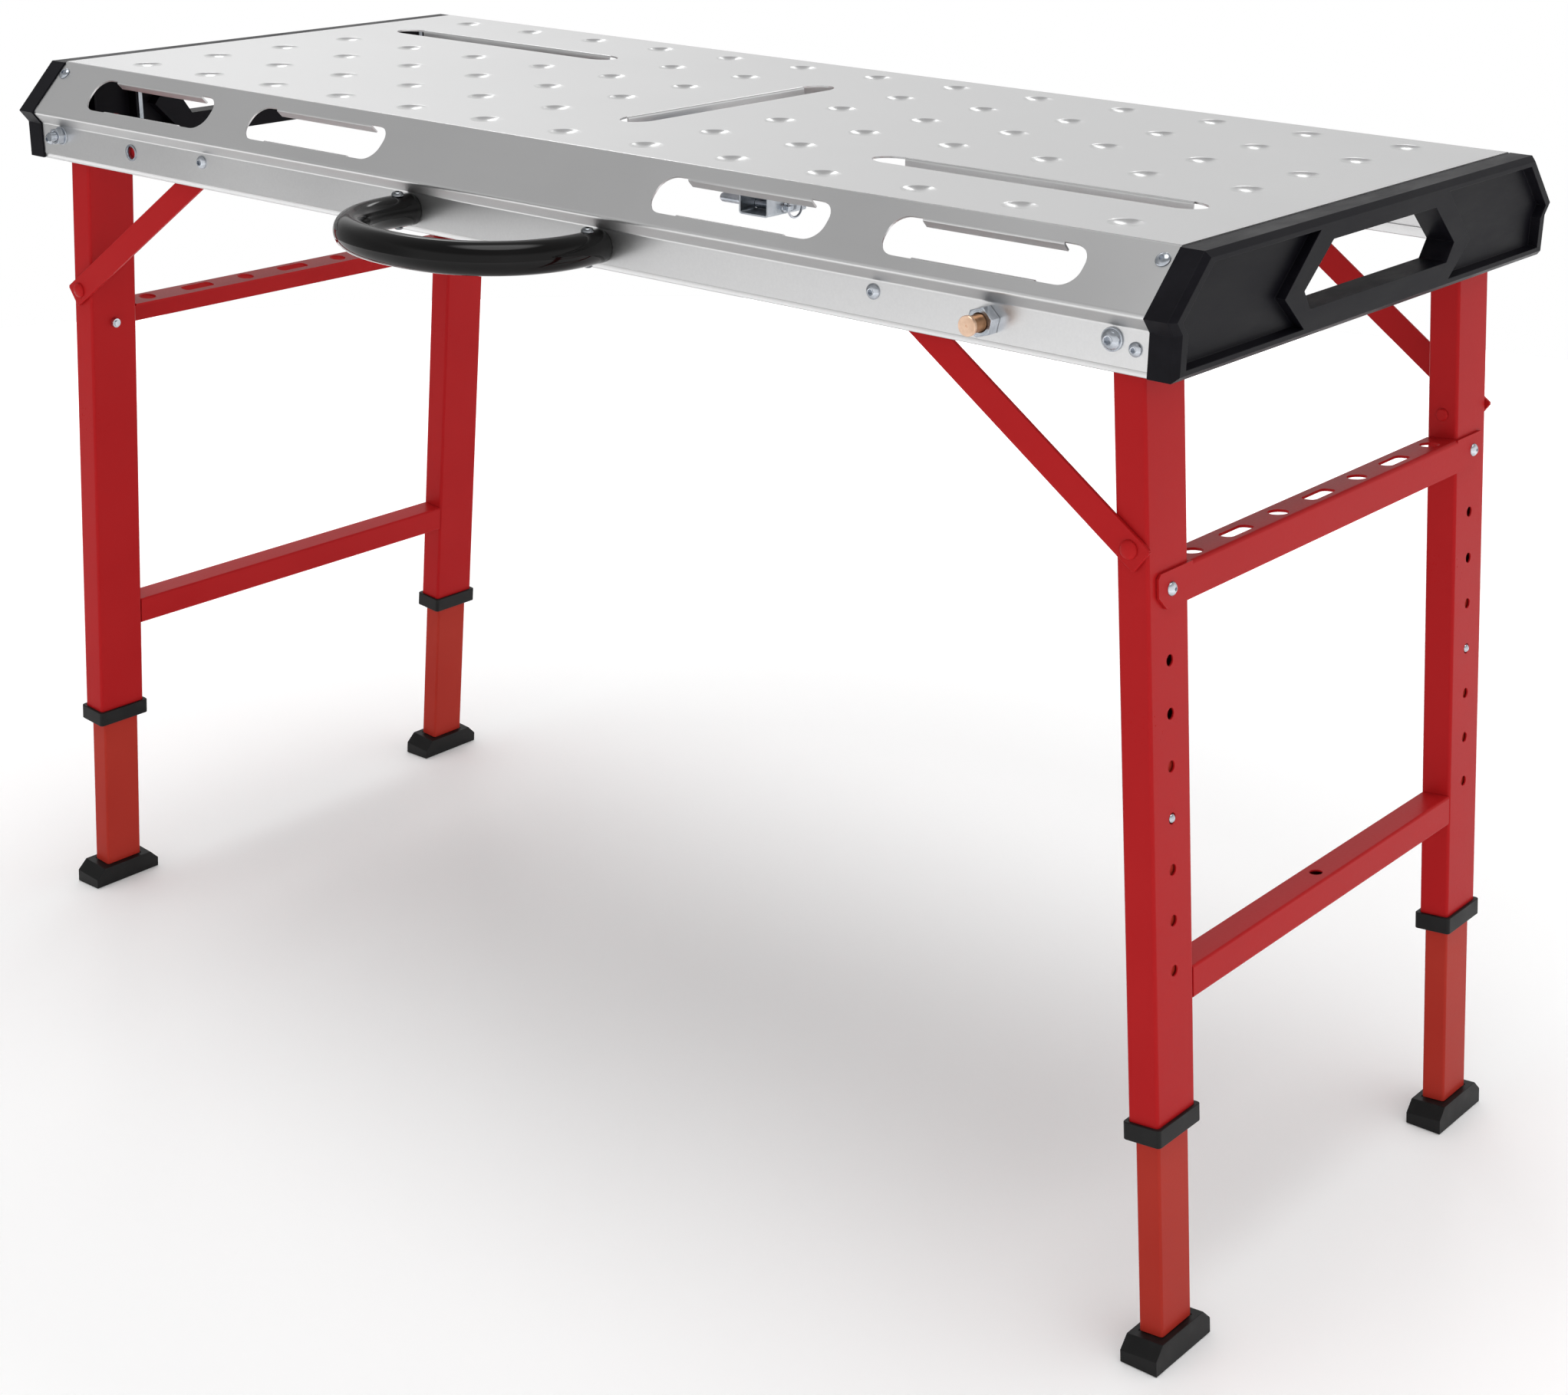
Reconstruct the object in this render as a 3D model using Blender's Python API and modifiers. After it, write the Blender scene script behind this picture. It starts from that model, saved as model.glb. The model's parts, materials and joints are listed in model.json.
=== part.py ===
"""Folding welding table: pressed steel top, plastic end caps, two folding leg frames with telescopic legs.

Metres, +Z up, floor at z = 0. X runs along the table, Y across it, and the carrying handle is on the -Y side.
Everything hangs from one empty, so that the origin lies under the middle of the whole table, handle included.
"""
import math

import bmesh
import bpy
from mathutils import Matrix, Vector

# --- top sheet -----------------------------------------------------------------------------------
TOP_Z = 0.8151
SHEET = 0.0015
SHEET_END_X = 0.5777
FLAT_HALF_Y = 0.2348
WIDEST_HALF_Y = 0.2753
SKIRT_HALF_Y = 0.2666
WIDEST_DROP = 0.0404
SKIRT_DROP = 0.0502
BOTTOM_DROP = 0.0813
HEM_HEIGHT = 0.0080
HEM_THICKNESS = 0.0032
GAP = 0.0003
ORIGIN_SHIFT_Y = 0.05795

# --- pressed dimples and punched openings ----------------------------------------------------------
DIMPLE_PITCH_X = 0.0853
DIMPLE_PITCH_Y = 0.0790
DIMPLE_COLUMNS = 13
DIMPLE_ROWS = 6
DIMPLE_RIM_R = 0.0135
DIMPLE_FLOOR_R = 0.0075
DIMPLE_DEPTH = 0.0024
DIMPLE_SIDES = 8
SLOT_LENGTH = 0.2850
SLOT_WIDTH = 0.0290
SLOT_CENTRE_X = 0.3840
SLOT_CENTRE_Y = 0.1185
CROSS_SLOT_LENGTH = 0.2600
LIP_INSET = 0.0200
LIP_DEPTH = 0.0080
OPENING_CENTRES = (0.2260, 0.4375)
OPENING_LENGTH = 0.1600
OPENING_TOP = 0.0120
OPENING_BOTTOM = 0.0447
OPENING_LIP_LENGTH = 0.1150

# --- end caps ----------------------------------------------------------------------------------------
CAP_END_X = 0.6000
CAP_CHAMFER = 0.0025
CAP_PANEL_DEPTH = 0.0075
CAP_WEB = 0.0030
CAP_TONGUE_X = 0.5600
CAP_TONGUE_WALL = 0.0028

# --- leg frames, in leg axes: X square to the leg, Z up along it from the folding axis --------------------
SPLAY = math.atan(0.0944)
RIGHT_PIVOT = (0.5503, 0.7554)
LEFT_PIVOT_RISE = 0.0012
LEG_Y = 0.2240
TUBE_WALL = 0.0015
OUTER_U = 0.0125
OUTER_Y = 0.0250
OUTER_TOP = 0.0110
OUTER_BOTTOM = -0.5755
INNER_U = 0.0100
INNER_Y = 0.0200
INNER_TOP = -0.2960
INNER_BOTTOM = -0.7380
PIN_HOLE = -0.3390
HOLE_PITCH = 0.0380
HOLE_R = 0.0041
RAIL_TOP = -0.1615
RAIL_HEIGHT = 0.0260
RAIL_BOLT = -0.1745
RAIL_THICK = 0.0020
CROSSBAR = -0.4715
CROSSBAR_HALF = 0.0125
RIVET = -0.1425
COLLAR_HEIGHT = 0.0140
FOOT_HALF_U = 0.0155
FOOT_HALF_Y = 0.0375

# --- braces, fasteners, handle ---------------------------------------------------------------------------
BRACE_SCREW = (0.3570, 0.7565)
BRACE_WIDTH = 0.0210
BRACE_IN = 0.2495
BRACE_OUT = 0.2525
BRACE_END = 0.0125
PIVOT_R = 0.0040
RIVET_R = 0.0040
TURN_SIDES = 12
RUNNING_R = (PIVOT_R + 0.00002) / math.cos(math.pi / TURN_SIDES)
HANDLE_X = 0.1018
HANDLE_Z = 0.7515
HANDLE_R = 0.0127
HANDLE_WALL = 0.0020
HANDLE_REACH = 0.0935
HANDLE_BEND_Y = -0.2850
HANDLE_SCREW_Y = -0.2800
STUD_X = 0.4525
STUD_Z = 0.7520

# --- lock bracket, pin and ring ----------------------------------------------------------------------------
LOCK_LEFT = 0.0280
LOCK_RIGHT = 0.0590
LOCK_BOTTOM = 0.7306
LOCK_FLANGE = 0.0110
LOCK_FRONT = -0.0220
LOCK_BACK = 0.0280
LOCK_PIN_Z = 0.7366
LOCK_PIN_R = 0.0040
LOCK_PIN_TIP = -0.0100
EYE_X = 0.0625
RING_R = 0.0090
RING_WIRE = 0.0010


# --- scene, collections, finishes ----------------------------------------------------------------------------
for old in list(bpy.data.objects):
    bpy.data.objects.remove(old, do_unlink=True)

PARTS = bpy.data.collections.new("welding_table")
CUTTERS = bpy.data.collections.new("cutters")
bpy.context.scene.collection.children.link(PARTS)
bpy.context.scene.collection.children.link(CUTTERS)

FINISHES = {
    "steel_sheet": ((0.62, 0.63, 0.64), 0.32, 1.0),
    "black_plastic": ((0.035, 0.034, 0.038), 0.45, 0.0),
    "black_gloss": ((0.010, 0.010, 0.012), 0.15, 0.0),
    "red_paint": ((0.44, 0.022, 0.026), 0.35, 0.0),
    "black_rubber": ((0.018, 0.018, 0.018), 0.60, 0.0),
    "zinc": ((0.68, 0.70, 0.73), 0.28, 1.0),
    "copper": ((0.80, 0.46, 0.28), 0.35, 1.0),
}


def add_empty(name, location, parent=None):
    empty = bpy.data.objects.new(name, None)
    empty.location = location
    empty.parent = parent
    empty.empty_display_size = 0.05
    PARTS.objects.link(empty)
    return empty


def add_material(name, finish):
    colour, roughness, metallic = FINISHES[finish]
    made = bpy.data.materials.new(name)
    made.use_nodes = True
    shader = made.node_tree.nodes["Principled BSDF"]
    shader.inputs["Base Color"].default_value = (*colour, 1.0)
    shader.inputs["Roughness"].default_value = roughness
    shader.inputs["Metallic"].default_value = metallic
    return made


def mesh_from(bm, name, weld=0.0000005):
    bmesh.ops.remove_doubles(bm, verts=bm.verts, dist=weld)
    bmesh.ops.recalc_face_normals(bm, faces=bm.faces)
    mesh = bpy.data.meshes.new(name)
    bm.to_mesh(mesh)
    bm.free()
    return mesh


def add_part(name, shape, finish, parent, location=(0.0, 0.0, 0.0), tilt=0.0):
    """One named part with its own material, placed under its parent and turned about Y by tilt."""
    mesh = shape if isinstance(shape, bpy.types.Mesh) else mesh_from(shape, name)
    part = bpy.data.objects.new(name, mesh)
    part.location = location
    part.rotation_euler = (0.0, tilt, 0.0)
    part.parent = parent
    mesh.materials.append(add_material(name + "_finish", finish))
    mesh.shade_smooth()
    mesh.set_sharp_from_angle(angle=math.radians(35.0))
    PARTS.objects.link(part)
    return part


def add_boolean(part, name, bm, operation="DIFFERENCE"):
    """A Boolean on a part, its second shape kept as a wire object that shares the part's place."""
    cutter = bpy.data.objects.new(name, mesh_from(bm, name))
    cutter.location = part.location
    cutter.rotation_euler = part.rotation_euler
    cutter.parent = part.parent
    cutter.hide_render = True
    cutter.display_type = "WIRE"
    CUTTERS.objects.link(cutter)
    step = part.modifiers.new(name, "BOOLEAN")
    step.operation = operation
    step.solver = "EXACT"
    step.object = cutter


def add_wall(part, thickness, offset=-1.0):
    """Turns an open surface into sheet of even thickness, behind its normals unless offset is 1."""
    step = part.modifiers.new("wall", "SOLIDIFY")
    step.thickness = thickness
    step.offset = offset
    step.use_even_offset = True
    step.use_quality_normals = True


# --- shapes ----------------------------------------------------------------------------------------------------
AXES = {"X": (1, 2, 0), "Y": (2, 0, 1), "Z": (0, 1, 2)}


def at_axis(axis, across, along):
    """A point from its two coordinates across a row axis and its one along it."""
    first, second, third = AXES[axis]
    point = [0.0, 0.0, 0.0]
    point[first], point[second], point[third] = across[0], across[1], along
    return Vector(point)


def axis_matrix(axis):
    """Turns a shape built along Z so that it lies along a row axis."""
    columns = [at_axis(axis, (1.0, 0.0), 0.0), at_axis(axis, (0.0, 1.0), 0.0), at_axis(axis, (0.0, 0.0), 1.0)]
    return Matrix(columns).transposed().to_4x4()


def box(bm, low, high):
    size = [b - a for a, b in zip(low, high)]
    middle = [(a + b) / 2 for a, b in zip(low, high)]
    place = Matrix.Translation(middle) @ Matrix.Diagonal((*size, 1.0))
    return bmesh.ops.create_cube(bm, size=1.0, matrix=place)["verts"]


def cone(bm, axis, centre, start, end, start_r, end_r, sides):
    middle = Matrix.Translation(at_axis(axis, centre, (start + end) / 2))
    half_step = Matrix.Rotation(math.pi / sides, 4, "Z")
    place = middle @ axis_matrix(axis) @ half_step
    depth = end - start
    bmesh.ops.create_cone(
        bm, cap_ends=True, segments=sides, radius1=start_r, radius2=end_r, depth=depth, matrix=place
    )


def rod(bm, axis, centre, radius, start, end, sides=TURN_SIDES):
    cone(bm, axis, centre, min(start, end), max(start, end), radius, radius, sides)


def turned(bm, axis, profile, sides=TURN_SIDES, centre=(0.0, 0.0)):
    """A profile of (radius, position) pairs, starting and ending on the axis, spun once round it."""
    ends = [bm.verts.new(at_axis(axis, (radius, 0.0), position)) for radius, position in profile]
    edges = [bm.edges.new(pair) for pair in zip(ends, ends[1:])]
    spun = bmesh.ops.spin(
        bm,
        geom=ends + edges,
        cent=(0.0, 0.0, 0.0),
        axis=at_axis(axis, (0.0, 0.0), 1.0),
        angle=2 * math.pi,
        steps=sides,
        use_merge=True,
    )
    del spun
    moved = [v for v in bm.verts if v.is_valid]
    bmesh.ops.rotate(bm, verts=moved, matrix=Matrix.Rotation(math.pi / sides, 3, axis))
    bmesh.ops.translate(bm, verts=moved, vec=at_axis(axis, centre, 0.0))
    bmesh.ops.remove_doubles(bm, verts=bm.verts, dist=0.0000005)


def slab(bm, axis, outline, start, end):
    """A flat outline across a row axis, extruded along it."""
    face = bm.faces.new([bm.verts.new(at_axis(axis, point, start)) for point in outline])
    pulled = bmesh.ops.extrude_face_region(bm, geom=[face], use_keep_orig=True)["geom"]
    verts = [item for item in pulled if isinstance(item, bmesh.types.BMVert)]
    bmesh.ops.translate(bm, verts=verts, vec=at_axis(axis, (0.0, 0.0), end - start))


def folded(bm, axis, section, start, end, closed=False):
    """The surface of bent sheet, or of a tube when closed: a section swept along a row axis."""
    corners = [bm.verts.new(at_axis(axis, point, start)) for point in section]
    pairs = list(zip(corners, corners[1:]))
    if closed:
        pairs.append((corners[-1], corners[0]))
    edges = [bm.edges.new(pair) for pair in pairs]
    pulled = bmesh.ops.extrude_edge_only(bm, edges=edges)["geom"]
    verts = [item for item in pulled if isinstance(item, bmesh.types.BMVert)]
    bmesh.ops.translate(bm, verts=verts, vec=at_axis(axis, (0.0, 0.0), end - start))


def rounded(half_a, half_b, radius, steps=2):
    """A rectangle with rounded corners, centred on zero."""
    points = []
    for quarter in range(4):
        sign_a = 1 if quarter in (0, 3) else -1
        sign_b = 1 if quarter in (0, 1) else -1
        for k in range(steps + 1):
            angle = math.pi / 2 * (quarter + k / steps)
            a = sign_a * (half_a - radius) + radius * math.cos(angle)
            b = sign_b * (half_b - radius) + radius * math.sin(angle)
            points.append((a, b))
    return points


def mirrored(half):
    """A whole outline from its +Y half, listed from the top middle downwards."""
    return half + [(-y, z) for y, z in reversed(half)]


def spread(side, low, high):
    """An interval along X, mirrored for the left side."""
    return (low, high) if side > 0 else (-high, -low)


# --- top sheet ---------------------------------------------------------------------------------------------------
SLOPE_ANGLE = math.atan2(WIDEST_DROP, WIDEST_HALF_Y - FLAT_HALF_Y)


def slope_matrix(side):
    """Slope axes of one long side: X along the table, Y down the slope, Z out of the sheet."""
    down = Vector((0.0, side * math.cos(SLOPE_ANGLE), -math.sin(SLOPE_ANGLE)))
    out = Vector((0.0, side * math.sin(SLOPE_ANGLE), math.cos(SLOPE_ANGLE)))
    turn = Matrix((down.cross(out), down, out)).transposed().to_4x4()
    return Matrix.Translation((0.0, side * FLAT_HALF_Y, TOP_Z)) @ turn


def dimple_places():
    """The grid of pressed dimples, less the places taken by the three slots."""
    for column in range(DIMPLE_COLUMNS):
        for row in range(DIMPLE_ROWS):
            x = (column - (DIMPLE_COLUMNS - 1) / 2) * DIMPLE_PITCH_X
            y = (row - (DIMPLE_ROWS - 1) / 2) * DIMPLE_PITCH_Y
            on_cross_slot = abs(x) < 0.01 and abs(y) < CROSS_SLOT_LENGTH / 2
            on_long_slot = abs(abs(y) - SLOT_CENTRE_Y) < 0.01 and x * y < 0 and abs(x) > 0.2
            if not on_cross_slot and not on_long_slot:
                yield x, y


def make_top_sheet():
    half = [
        (SKIRT_HALF_Y - HEM_THICKNESS, TOP_Z - BOTTOM_DROP + HEM_HEIGHT),
        (SKIRT_HALF_Y - HEM_THICKNESS, TOP_Z - BOTTOM_DROP),
        (SKIRT_HALF_Y, TOP_Z - BOTTOM_DROP),
        (SKIRT_HALF_Y, TOP_Z - SKIRT_DROP),
        (WIDEST_HALF_Y, TOP_Z - WIDEST_DROP),
        (FLAT_HALF_Y, TOP_Z),
    ]
    bm = bmesh.new()
    folded(bm, "X", mirrored(half), -SHEET_END_X, SHEET_END_X)
    top = add_part("top_sheet", bm, "steel_sheet", TABLE)
    add_wall(top, SHEET)

    bulges = bmesh.new()
    bowls = bmesh.new()
    for place in dimple_places():
        low = TOP_Z - DIMPLE_DEPTH
        sides = DIMPLE_SIDES
        high = TOP_Z - SHEET * 0.6
        cone(bulges, "Z", place, low - SHEET, high, DIMPLE_FLOOR_R + 0.0005, DIMPLE_RIM_R + 0.0010, sides)
        cone(bowls, "Z", place, low, TOP_Z + 0.0002, DIMPLE_FLOOR_R, DIMPLE_RIM_R + 0.0005, sides)
    add_boolean(top, "dimple_bulges", bulges, "UNION")
    add_boolean(top, "dimple_bowls", bowls)

    lips = bmesh.new()
    holes = bmesh.new()
    slot = rounded(SLOT_LENGTH / 2, SLOT_WIDTH / 2, SLOT_WIDTH / 2 - 0.0005, steps=4)
    cross_slot = rounded(SLOT_WIDTH / 2, CROSS_SLOT_LENGTH / 2, SLOT_WIDTH / 2 - 0.0005, steps=4)
    slab(holes, "Z", cross_slot, TOP_Z - 0.003, TOP_Z + 0.002)
    lip_near = SLOT_WIDTH / 2 + GAP
    for side in (1, -1):
        outline = [(x + side * SLOT_CENTRE_X, y - side * SLOT_CENTRE_Y) for x, y in slot]
        slab(holes, "Z", outline, TOP_Z - 0.003, TOP_Z + 0.002)
        low_x = side * SLOT_CENTRE_X - SLOT_LENGTH / 2 + LIP_INSET
        high_x = side * SLOT_CENTRE_X + SLOT_LENGTH / 2 - LIP_INSET
        for edge in (1, -1):
            near, far = sorted((edge * lip_near, edge * (lip_near + SHEET)))
            y = -side * SLOT_CENTRE_Y
            box(lips, (low_x, y + near, TOP_Z - LIP_DEPTH), (high_x, y + far, TOP_Z - SHEET * 0.5))
        near, far = sorted((side * lip_near, side * (lip_near + SHEET)))
        reach = CROSS_SLOT_LENGTH / 2 - LIP_INSET
        box(lips, (near, -reach, TOP_Z - LIP_DEPTH), (far, reach, TOP_Z - SHEET * 0.5))

        to_slope = slope_matrix(side)
        middle = (OPENING_TOP + OPENING_BOTTOM) / 2
        opening = rounded(OPENING_LENGTH / 2, (OPENING_BOTTOM - OPENING_TOP) / 2, 0.0140, steps=3)
        for centre in OPENING_CENTRES:
            for end in (1, -1):
                x = end * centre
                hole = bmesh.new()
                slab(hole, "Z", [(x + a, middle + b) for a, b in opening], -0.0035, 0.0030)
                lip = bmesh.new()
                reach = OPENING_LIP_LENGTH / 2
                lip_edge = OPENING_TOP - GAP
                box(lip, (x - reach, lip_edge - SHEET, -LIP_DEPTH), (x + reach, lip_edge, -SHEET * 0.5))
                join(holes, hole, to_slope)
                join(lips, lip, to_slope)

        for end in (1, -1):
            pivot_x, pivot_z = pivot(end)
            low, high = sorted((side * (SKIRT_HALF_Y - 0.0030), side * (SKIRT_HALF_Y + 0.0020)))
            rod(holes, "Y", (pivot_z, pivot_x), PIVOT_R + 0.0005, low, high)
            rod(holes, "Y", (BRACE_SCREW[1], end * BRACE_SCREW[0]), 0.0034, low, high)
            if side < 0:
                rod(holes, "Y", (STUD_Z, end * STUD_X), 0.0064, low, high)
                rod(holes, "Y", (HANDLE_Z, end * HANDLE_X), 0.0032, low, high)
    add_boolean(top, "turned_lips", lips, "UNION")
    add_boolean(top, "sheet_holes", holes)


def join(bm, other, matrix):
    """Adds a second shape to the first, moved by a matrix."""
    bmesh.ops.transform(other, matrix=matrix, verts=other.verts)
    moved = bpy.data.meshes.new("moved")
    other.to_mesh(moved)
    other.free()
    bm.from_mesh(moved)
    bpy.data.meshes.remove(moved)


# --- end caps -------------------------------------------------------------------------------------------------------
def make_end_cap(name, side):
    inner = SHEET_END_X + GAP
    half = [
        (SKIRT_HALF_Y, TOP_Z - BOTTOM_DROP + 0.0005),
        (SKIRT_HALF_Y, TOP_Z - SKIRT_DROP),
        (WIDEST_HALF_Y, TOP_Z - WIDEST_DROP),
        (FLAT_HALF_Y, TOP_Z),
    ]
    bm = bmesh.new()
    slab(bm, "X", mirrored(half), side * inner, side * CAP_END_X)
    rim = [e for e in bm.edges if all(abs(abs(v.co.x) - CAP_END_X) < 0.0001 for v in e.verts)]
    bmesh.ops.bevel(bm, geom=rim, offset=CAP_CHAMFER, segments=1, affect="EDGES")
    cap = add_part(name, bm, "black_plastic", TABLE)

    edge = SHEET + GAP
    low = TOP_Z - BOTTOM_DROP + HEM_HEIGHT + 0.0020
    lining = [
        (SKIRT_HALF_Y - edge, low),
        (SKIRT_HALF_Y - edge, TOP_Z - SKIRT_DROP + edge * 0.5),
        (WIDEST_HALF_Y - edge * 1.5, TOP_Z - WIDEST_DROP),
        (FLAT_HALF_Y - edge * 0.5, TOP_Z - edge),
    ]
    thick = CAP_TONGUE_WALL
    inside = [
        (FLAT_HALF_Y - edge * 0.5 - thick * 0.42, TOP_Z - edge - thick),
        (WIDEST_HALF_Y - edge * 1.5 - thick * 1.2, TOP_Z - WIDEST_DROP),
        (SKIRT_HALF_Y - edge - thick, TOP_Z - SKIRT_DROP + edge * 0.5),
        (SKIRT_HALF_Y - edge - thick, low),
    ]
    tongue = bmesh.new()
    outline = mirrored(lining) + [(-y, z) for y, z in reversed(inside)] + inside
    slab(tongue, "X", outline, side * CAP_TONGUE_X, side * (inner + 0.0040))
    add_boolean(cap, name + "_tongue", tongue, "UNION")

    front = CAP_END_X + 0.0020
    floor = CAP_END_X - CAP_PANEL_DEPTH
    top = TOP_Z - 0.0095
    low = TOP_Z - 0.0720
    hollows = bmesh.new()
    for end in (1, -1):
        panel = [
            (end * 0.2265, top),
            (end * 0.2600, TOP_Z - 0.0415),
            (end * 0.2525, TOP_Z - 0.0505),
            (end * 0.2525, low),
            (end * 0.1080, low),
            (end * 0.1350, TOP_Z - 0.0470),
            (end * 0.0950, top),
        ]
        slab(hollows, "X", panel, side * floor, side * front)
        back = [
            (end * 0.2220, TOP_Z - 0.0125),
            (end * 0.2540, TOP_Z - 0.0425),
            (end * 0.2500, low + 0.0010),
            (end * 0.1180, low + 0.0010),
            (end * 0.1400, TOP_Z - 0.0470),
            (end * 0.1060, TOP_Z - 0.0125),
        ]
        slab(hollows, "X", back, side * (inner - 0.0020), side * (floor - CAP_WEB))
    hand_hole = mirrored([(0.1000, TOP_Z - 0.0603), (0.1095, TOP_Z - 0.0470), (0.0747, TOP_Z - 0.0175)])
    slab(hollows, "X", hand_hole, side * (inner - 0.0020), side * front)
    add_boolean(cap, name + "_hollows", hollows)


# --- handle ------------------------------------------------------------------------------------------------------------
def handle_points(steps=12):
    """A squarish half ellipse in plan, with straight ends that meet the skirt."""
    start = -(SKIRT_HALF_Y + GAP)
    power = 2 / 2.3
    points = [(-HANDLE_X, start)]
    for k in range(steps + 1):
        angle = math.pi * k / steps
        x = -HANDLE_X * math.copysign(abs(math.cos(angle)) ** power, math.cos(angle))
        y = HANDLE_BEND_Y - HANDLE_REACH * abs(math.sin(angle)) ** power
        points.append((x, y))
    points.append((HANDLE_X, start))
    return points


def make_handle():
    points = handle_points()
    path = bpy.data.curves.new("handle_path", "CURVE")
    path.dimensions = "3D"
    path.bevel_depth = HANDLE_R
    path.bevel_resolution = 3
    path.use_fill_caps = False
    line = path.splines.new("POLY")
    line.points.add(len(points) - 1)
    for point, (x, y) in zip(line.points, points):
        point.co = (x, y, 0.0, 1.0)
    guide = bpy.data.objects.new("handle_path", path)
    CUTTERS.objects.link(guide)
    bpy.context.view_layer.update()
    swept = bpy.data.meshes.new_from_object(guide.evaluated_get(bpy.context.evaluated_depsgraph_get()))
    bpy.data.objects.remove(guide, do_unlink=True)
    bm = bmesh.new()
    bm.from_mesh(swept)
    handle = add_part("carry_handle", bm, "black_gloss", TABLE, (0.0, 0.0, HANDLE_Z))
    add_wall(handle, HANDLE_WALL)
    holes = bmesh.new()
    for side in (1, -1):
        rod(holes, "Z", (side * HANDLE_X, HANDLE_SCREW_Y), 0.0029, -0.0200, 0.0200)
    add_boolean(handle, "handle_screw_holes", holes)

    skirt = SKIRT_HALF_Y
    post = [
        (0.0, skirt - SHEET - 0.0016),
        (0.0055, skirt - SHEET - 0.0016),
        (0.0055, skirt - SHEET - GAP),
        (0.0029, skirt - SHEET - GAP),
        (0.0029, skirt + GAP),
        (0.0096, skirt + GAP),
        (0.0096, skirt + 0.0190),
        (0.0, skirt + 0.0190),
    ]
    screw = [
        (0.0, -HANDLE_R - 0.0040),
        (0.0042, -HANDLE_R - 0.0040),
        (0.0042, -HANDLE_R - GAP),
        (0.0025, -HANDLE_R - GAP),
        (0.0025, HANDLE_R + GAP),
        (0.0048, HANDLE_R + GAP),
        (0.0034, HANDLE_R + 0.0028),
        (0.0015, HANDLE_R + 0.0028),
        (0.0015, HANDLE_R + 0.0014),
        (0.0, HANDLE_R + 0.0014),
    ]
    for name, side in (("left", -1), ("right", 1)):
        bm = bmesh.new()
        turned(bm, "Y", [(radius, -depth) for radius, depth in post])
        made = add_part("handle_post_" + name, bm, "zinc", TABLE, (side * HANDLE_X, 0.0, HANDLE_Z))
        hole = bmesh.new()
        rod(hole, "Z", (0.0, HANDLE_SCREW_Y), 0.0029, -0.0200, 0.0200)
        add_boolean(made, "handle_post_hole_" + name, hole)
        bm = bmesh.new()
        turned(bm, "Z", screw, sides=10)
        place = (side * HANDLE_X, HANDLE_SCREW_Y, HANDLE_Z)
        add_part("handle_screw_" + name, bm, "zinc", TABLE, place)


# --- fasteners on the skirt -----------------------------------------------------------------------------------------------
def add_skirt_part(name, x, z, front, profile, finish, sides=TURN_SIDES):
    """A turned part on one skirt; profile positions are distances from the table's middle plane."""
    sign = -1 if front else 1
    bm = bmesh.new()
    turned(bm, "Y", [(radius, sign * depth) for radius, depth in profile], sides=sides)
    return add_part(name, bm, finish, TABLE, (x, 0.0, z))


def make_skirt_fasteners():
    face = SKIRT_HALF_Y
    back = SKIRT_HALF_Y - SHEET
    leg_out = LEG_Y + OUTER_Y
    leg_in = LEG_Y - OUTER_Y
    bolt = [
        (0.0, face + 0.0036),
        (0.0025, face + 0.0036),
        (0.0025, face + 0.0060),
        (0.0050, face + 0.0056),
        (0.0073, face + 0.0022),
        (0.0080, face + 0.0018),
        (0.0080, face + GAP),
        (PIVOT_R, face + GAP),
        (PIVOT_R, back - GAP),
        (0.0070, back - GAP),
        (0.0070, leg_out + GAP),
        (PIVOT_R, leg_out + GAP),
        (PIVOT_R, leg_in - GAP),
        (0.0066, leg_in - GAP),
        (0.0066, leg_in - 0.0070),
        (0.0, leg_in - 0.0070),
    ]
    screw = [
        (0.0, face + 0.0018),
        (0.0018, face + 0.0018),
        (0.0018, face + 0.0037),
        (0.0038, face + 0.0034),
        (0.0056, face + GAP),
        (0.0030, face + GAP),
        (0.0030, back - GAP),
        (0.0060, back - GAP),
        (0.0060, BRACE_OUT + 0.0005),
        (0.0, BRACE_OUT + 0.0005),
    ]
    for end_name, end in (("left", -1), ("right", 1)):
        pivot_x, pivot_z = pivot(end)
        for depth_name, front in (("front", True), ("back", False)):
            label = end_name + "_" + depth_name
            screw_x, screw_z = end * BRACE_SCREW[0], BRACE_SCREW[1]
            add_skirt_part("pivot_bolt_" + label, pivot_x, pivot_z, front, bolt, "zinc")
            add_skirt_part("brace_screw_" + label, screw_x, screw_z, front, screw, "zinc", sides=10)
    stud = [
        (0.0, back - 0.0085),
        (0.0090, back - 0.0085),
        (0.0090, back - GAP),
        (0.0060, back - GAP),
        (0.0060, face + 0.0215),
        (0.0069, face + 0.0215),
        (0.0069, face + 0.0238),
        (0.0, face + 0.0238),
    ]
    add_skirt_part("earth_stud", STUD_X, STUD_Z, True, stud, "copper", sides=14)
    bm = bmesh.new()
    rod(bm, "Y", (0.0, 0.0), 0.0107, -(face + GAP + 0.0095), -(face + GAP), sides=6)
    nut = add_part("earth_stud_nut", bm, "zinc", TABLE, (STUD_X, 0.0, STUD_Z))
    bore = bmesh.new()
    rod(bore, "Y", (0.0, 0.0), 0.0063, -(face + 0.0120), -(face - 0.0020), sides=14)
    add_boolean(nut, "nut_bore", bore)


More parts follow.
